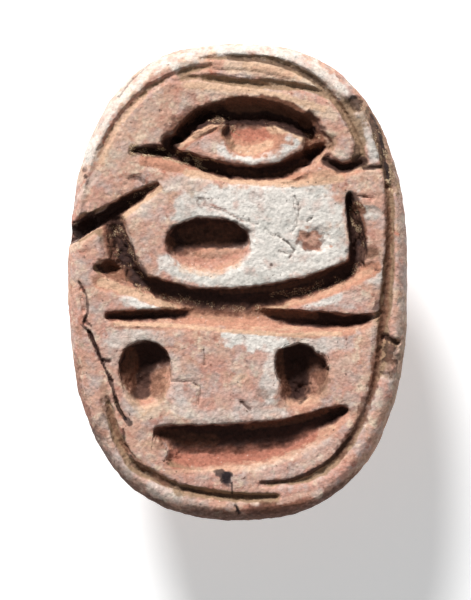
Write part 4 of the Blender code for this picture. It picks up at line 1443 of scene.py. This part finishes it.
        # Painted light, besides bare stone: ochre on the walls that face the light and on lips below a cut
        # towards it
        lit_ledge_ochre = dirt_and_light.ochre_and_light * step(*dirt_and_light.ochre_and_light_depths, hollow) * step(*dirt_and_light.lit_shelters, sheltered)
        lit_lip_ochre = (dirt_and_light.lit_lip_ochre[0] + dirt_and_light.lit_lip_ochre[1] * patchy) * step(*dirt_and_light.lit_lip_falls, lip_mm)
        # Painted highlight: tan on the narrow lips below a cut towards the light
        tan_and_highlight = (dirt_and_light.lip_highlight[0] + dirt_and_light.lip_highlight[1] * patchy) * step(*dirt_and_light.highlight_falls, edge_mm)
        khaki = dirt_and_light.khaki * border * step(*dirt_and_light.khaki_depths, hollow) * step(*dirt_and_light.khaki_ends, hollow)
        # Painted shade: a brown fringe where the stone is partly sheltered from the light
        umber_and_shade = dirt_and_light.umber_and_shade * step(*dirt_and_light.umber_and_shade_depths, hollow) * step(*dirt_and_light.penumbra_shelters, ragged)
        # Painted shade, besides soil: deep places that the cut walls shelter from the light are painted dark
        grime_and_shade = step(*dirt_and_light.grime_and_shade_depths, hollow) * step(*dirt_and_light.shade_shelters, ragged)
        far_umber = dirt_and_light.far_umber * step(*dirt_and_light.far_umber_depths, form.sunk_mm)
        far_khaki = dirt_and_light.far_khaki * step(*dirt_and_light.far_khaki_depths, form.sunk_mm)
        found = (
            (Layer.OCHRE_AND_LIGHT, on_face * np.maximum(lit_ledge_ochre, lit_lip_ochre)),
            (Layer.TAN, on_face * tan_and_highlight),
            (Layer.KHAKI, on_face * khaki),
            (Layer.UMBER_AND_SHADE, on_face * umber_and_shade * (1 - dirt_and_light.border_umber_and_shade * shallow)),
            (Layer.GRIME_AND_SHADE, on_face * grime_and_shade * (1 - dirt_and_light.border_grime_and_shade * shallow)),
            (Layer.GRIME_AND_SHADE, near_face * np.max(self.crack_masks(form), axis=0)),
            (Layer.UMBER_AND_SHADE, (1 - near_face) * far_umber),
            (Layer.KHAKI, (1 - near_face) * far_khaki),
            (Layer.CREAM, (1 - near_face) * patchy * dirt_and_light.far_cream),
        )
        for layer, values in found:
            layers[layer] = np.maximum(layers[layer], values)
        layers[Layer.GRIT] *= step(*dirt_and_light.grit_levels, grain(form.points, dirt_and_light.grit_size, 15))
        return layers


@dataclass
class Studio:
    """The pale floor, the soft light and the camera that looks straight down."""

    face: Face
    frame_length_mm: float = 21.25
    middle_x_mm: float = -0.0885
    middle_y_mm: float = -0.637
    lens_mm: float = 150.0
    sensor_mm: float = 36.0
    key_elevation: float = 36.0
    key_bearing: float = 109.0
    key_spread: float = 16.0
    key_strength: float = 4.3
    sky_strength: float = 0.24
    sky_tint: tuple[float, float, float, float] = (0.94, 0.98, 1.0, 1.0)
    floor_size_m: float = 0.6
    floor_shade: float = 0.93
    floor_roughness: float = 0.9
    floor_glow: float = 0.33

    def build(self) -> None:
        """Makes the whole studio."""
        self.floor()
        self.key()
        self.sky()
        self.camera()
        bpy.context.scene.view_settings.view_transform = "Standard"

    def floor(self) -> None:
        """Makes the pale floor."""
        bpy.ops.mesh.primitive_plane_add(size=self.floor_size_m, location=(0, 0, 0))
        floor = bpy.context.active_object
        floor.name = "floor"
        material = bpy.data.materials.new("pale_floor")
        material.use_nodes = True
        shader = material.node_tree.nodes["Principled BSDF"]
        shader.inputs["Base Color"].default_value = (self.floor_shade,) * 3 + (1.0,)
        shader.inputs["Roughness"].default_value = self.floor_roughness
        shader.inputs["Emission Color"].default_value = (1.0, 1.0, 1.0, 1.0)
        shader.inputs["Emission Strength"].default_value = self.floor_glow
        floor.data.materials.append(material)

    def key(self) -> None:
        """Makes the soft key light from the upper left."""
        bpy.ops.object.light_add(type="SUN")
        key = bpy.context.active_object
        key.name = "key"
        key.data.energy = self.key_strength
        key.data.angle = math.radians(self.key_spread)
        rise = math.radians(self.key_elevation)
        turn = math.radians(self.key_bearing)
        towards = Vector((math.cos(turn) * math.cos(rise), math.sin(turn) * math.cos(rise), math.sin(rise)))
        key.rotation_euler = towards.to_track_quat("Z", "Y").to_euler()

    def sky(self) -> None:
        """Makes the even light from all round."""
        world = bpy.data.worlds.new("studio")
        world.use_nodes = True
        background = world.node_tree.nodes["Background"]
        background.inputs["Color"].default_value = self.sky_tint
        background.inputs["Strength"].default_value = self.sky_strength
        bpy.context.scene.world = world

    def camera(self) -> None:
        """Makes the camera, whose picture is as high as frame_length_mm at the carved face."""
        distance = self.lens_mm / self.sensor_mm * self.frame_length_mm * MM
        place = (self.middle_x_mm * MM, self.middle_y_mm * MM, self.face.height + distance)
        bpy.ops.object.camera_add(location=place, rotation=(0, 0, 0))
        camera = bpy.context.active_object
        camera.name = "camera"
        camera.data.lens = self.lens_mm
        camera.data.sensor_fit = "VERTICAL"
        camera.data.sensor_height = self.sensor_mm
        camera.data.clip_start = MM
        bpy.context.scene.camera = camera


def main() -> None:
    """Makes the amulet and the studio."""
    noise.seed_set(NOISE_SEED)
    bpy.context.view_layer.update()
    face = Face.from_frame()
    scarab = CarvedScarab(face)
    piece = scarab.build()
    scarab.dress(piece)
    Studio(face).build()


if __name__ == "__main__":
    main()
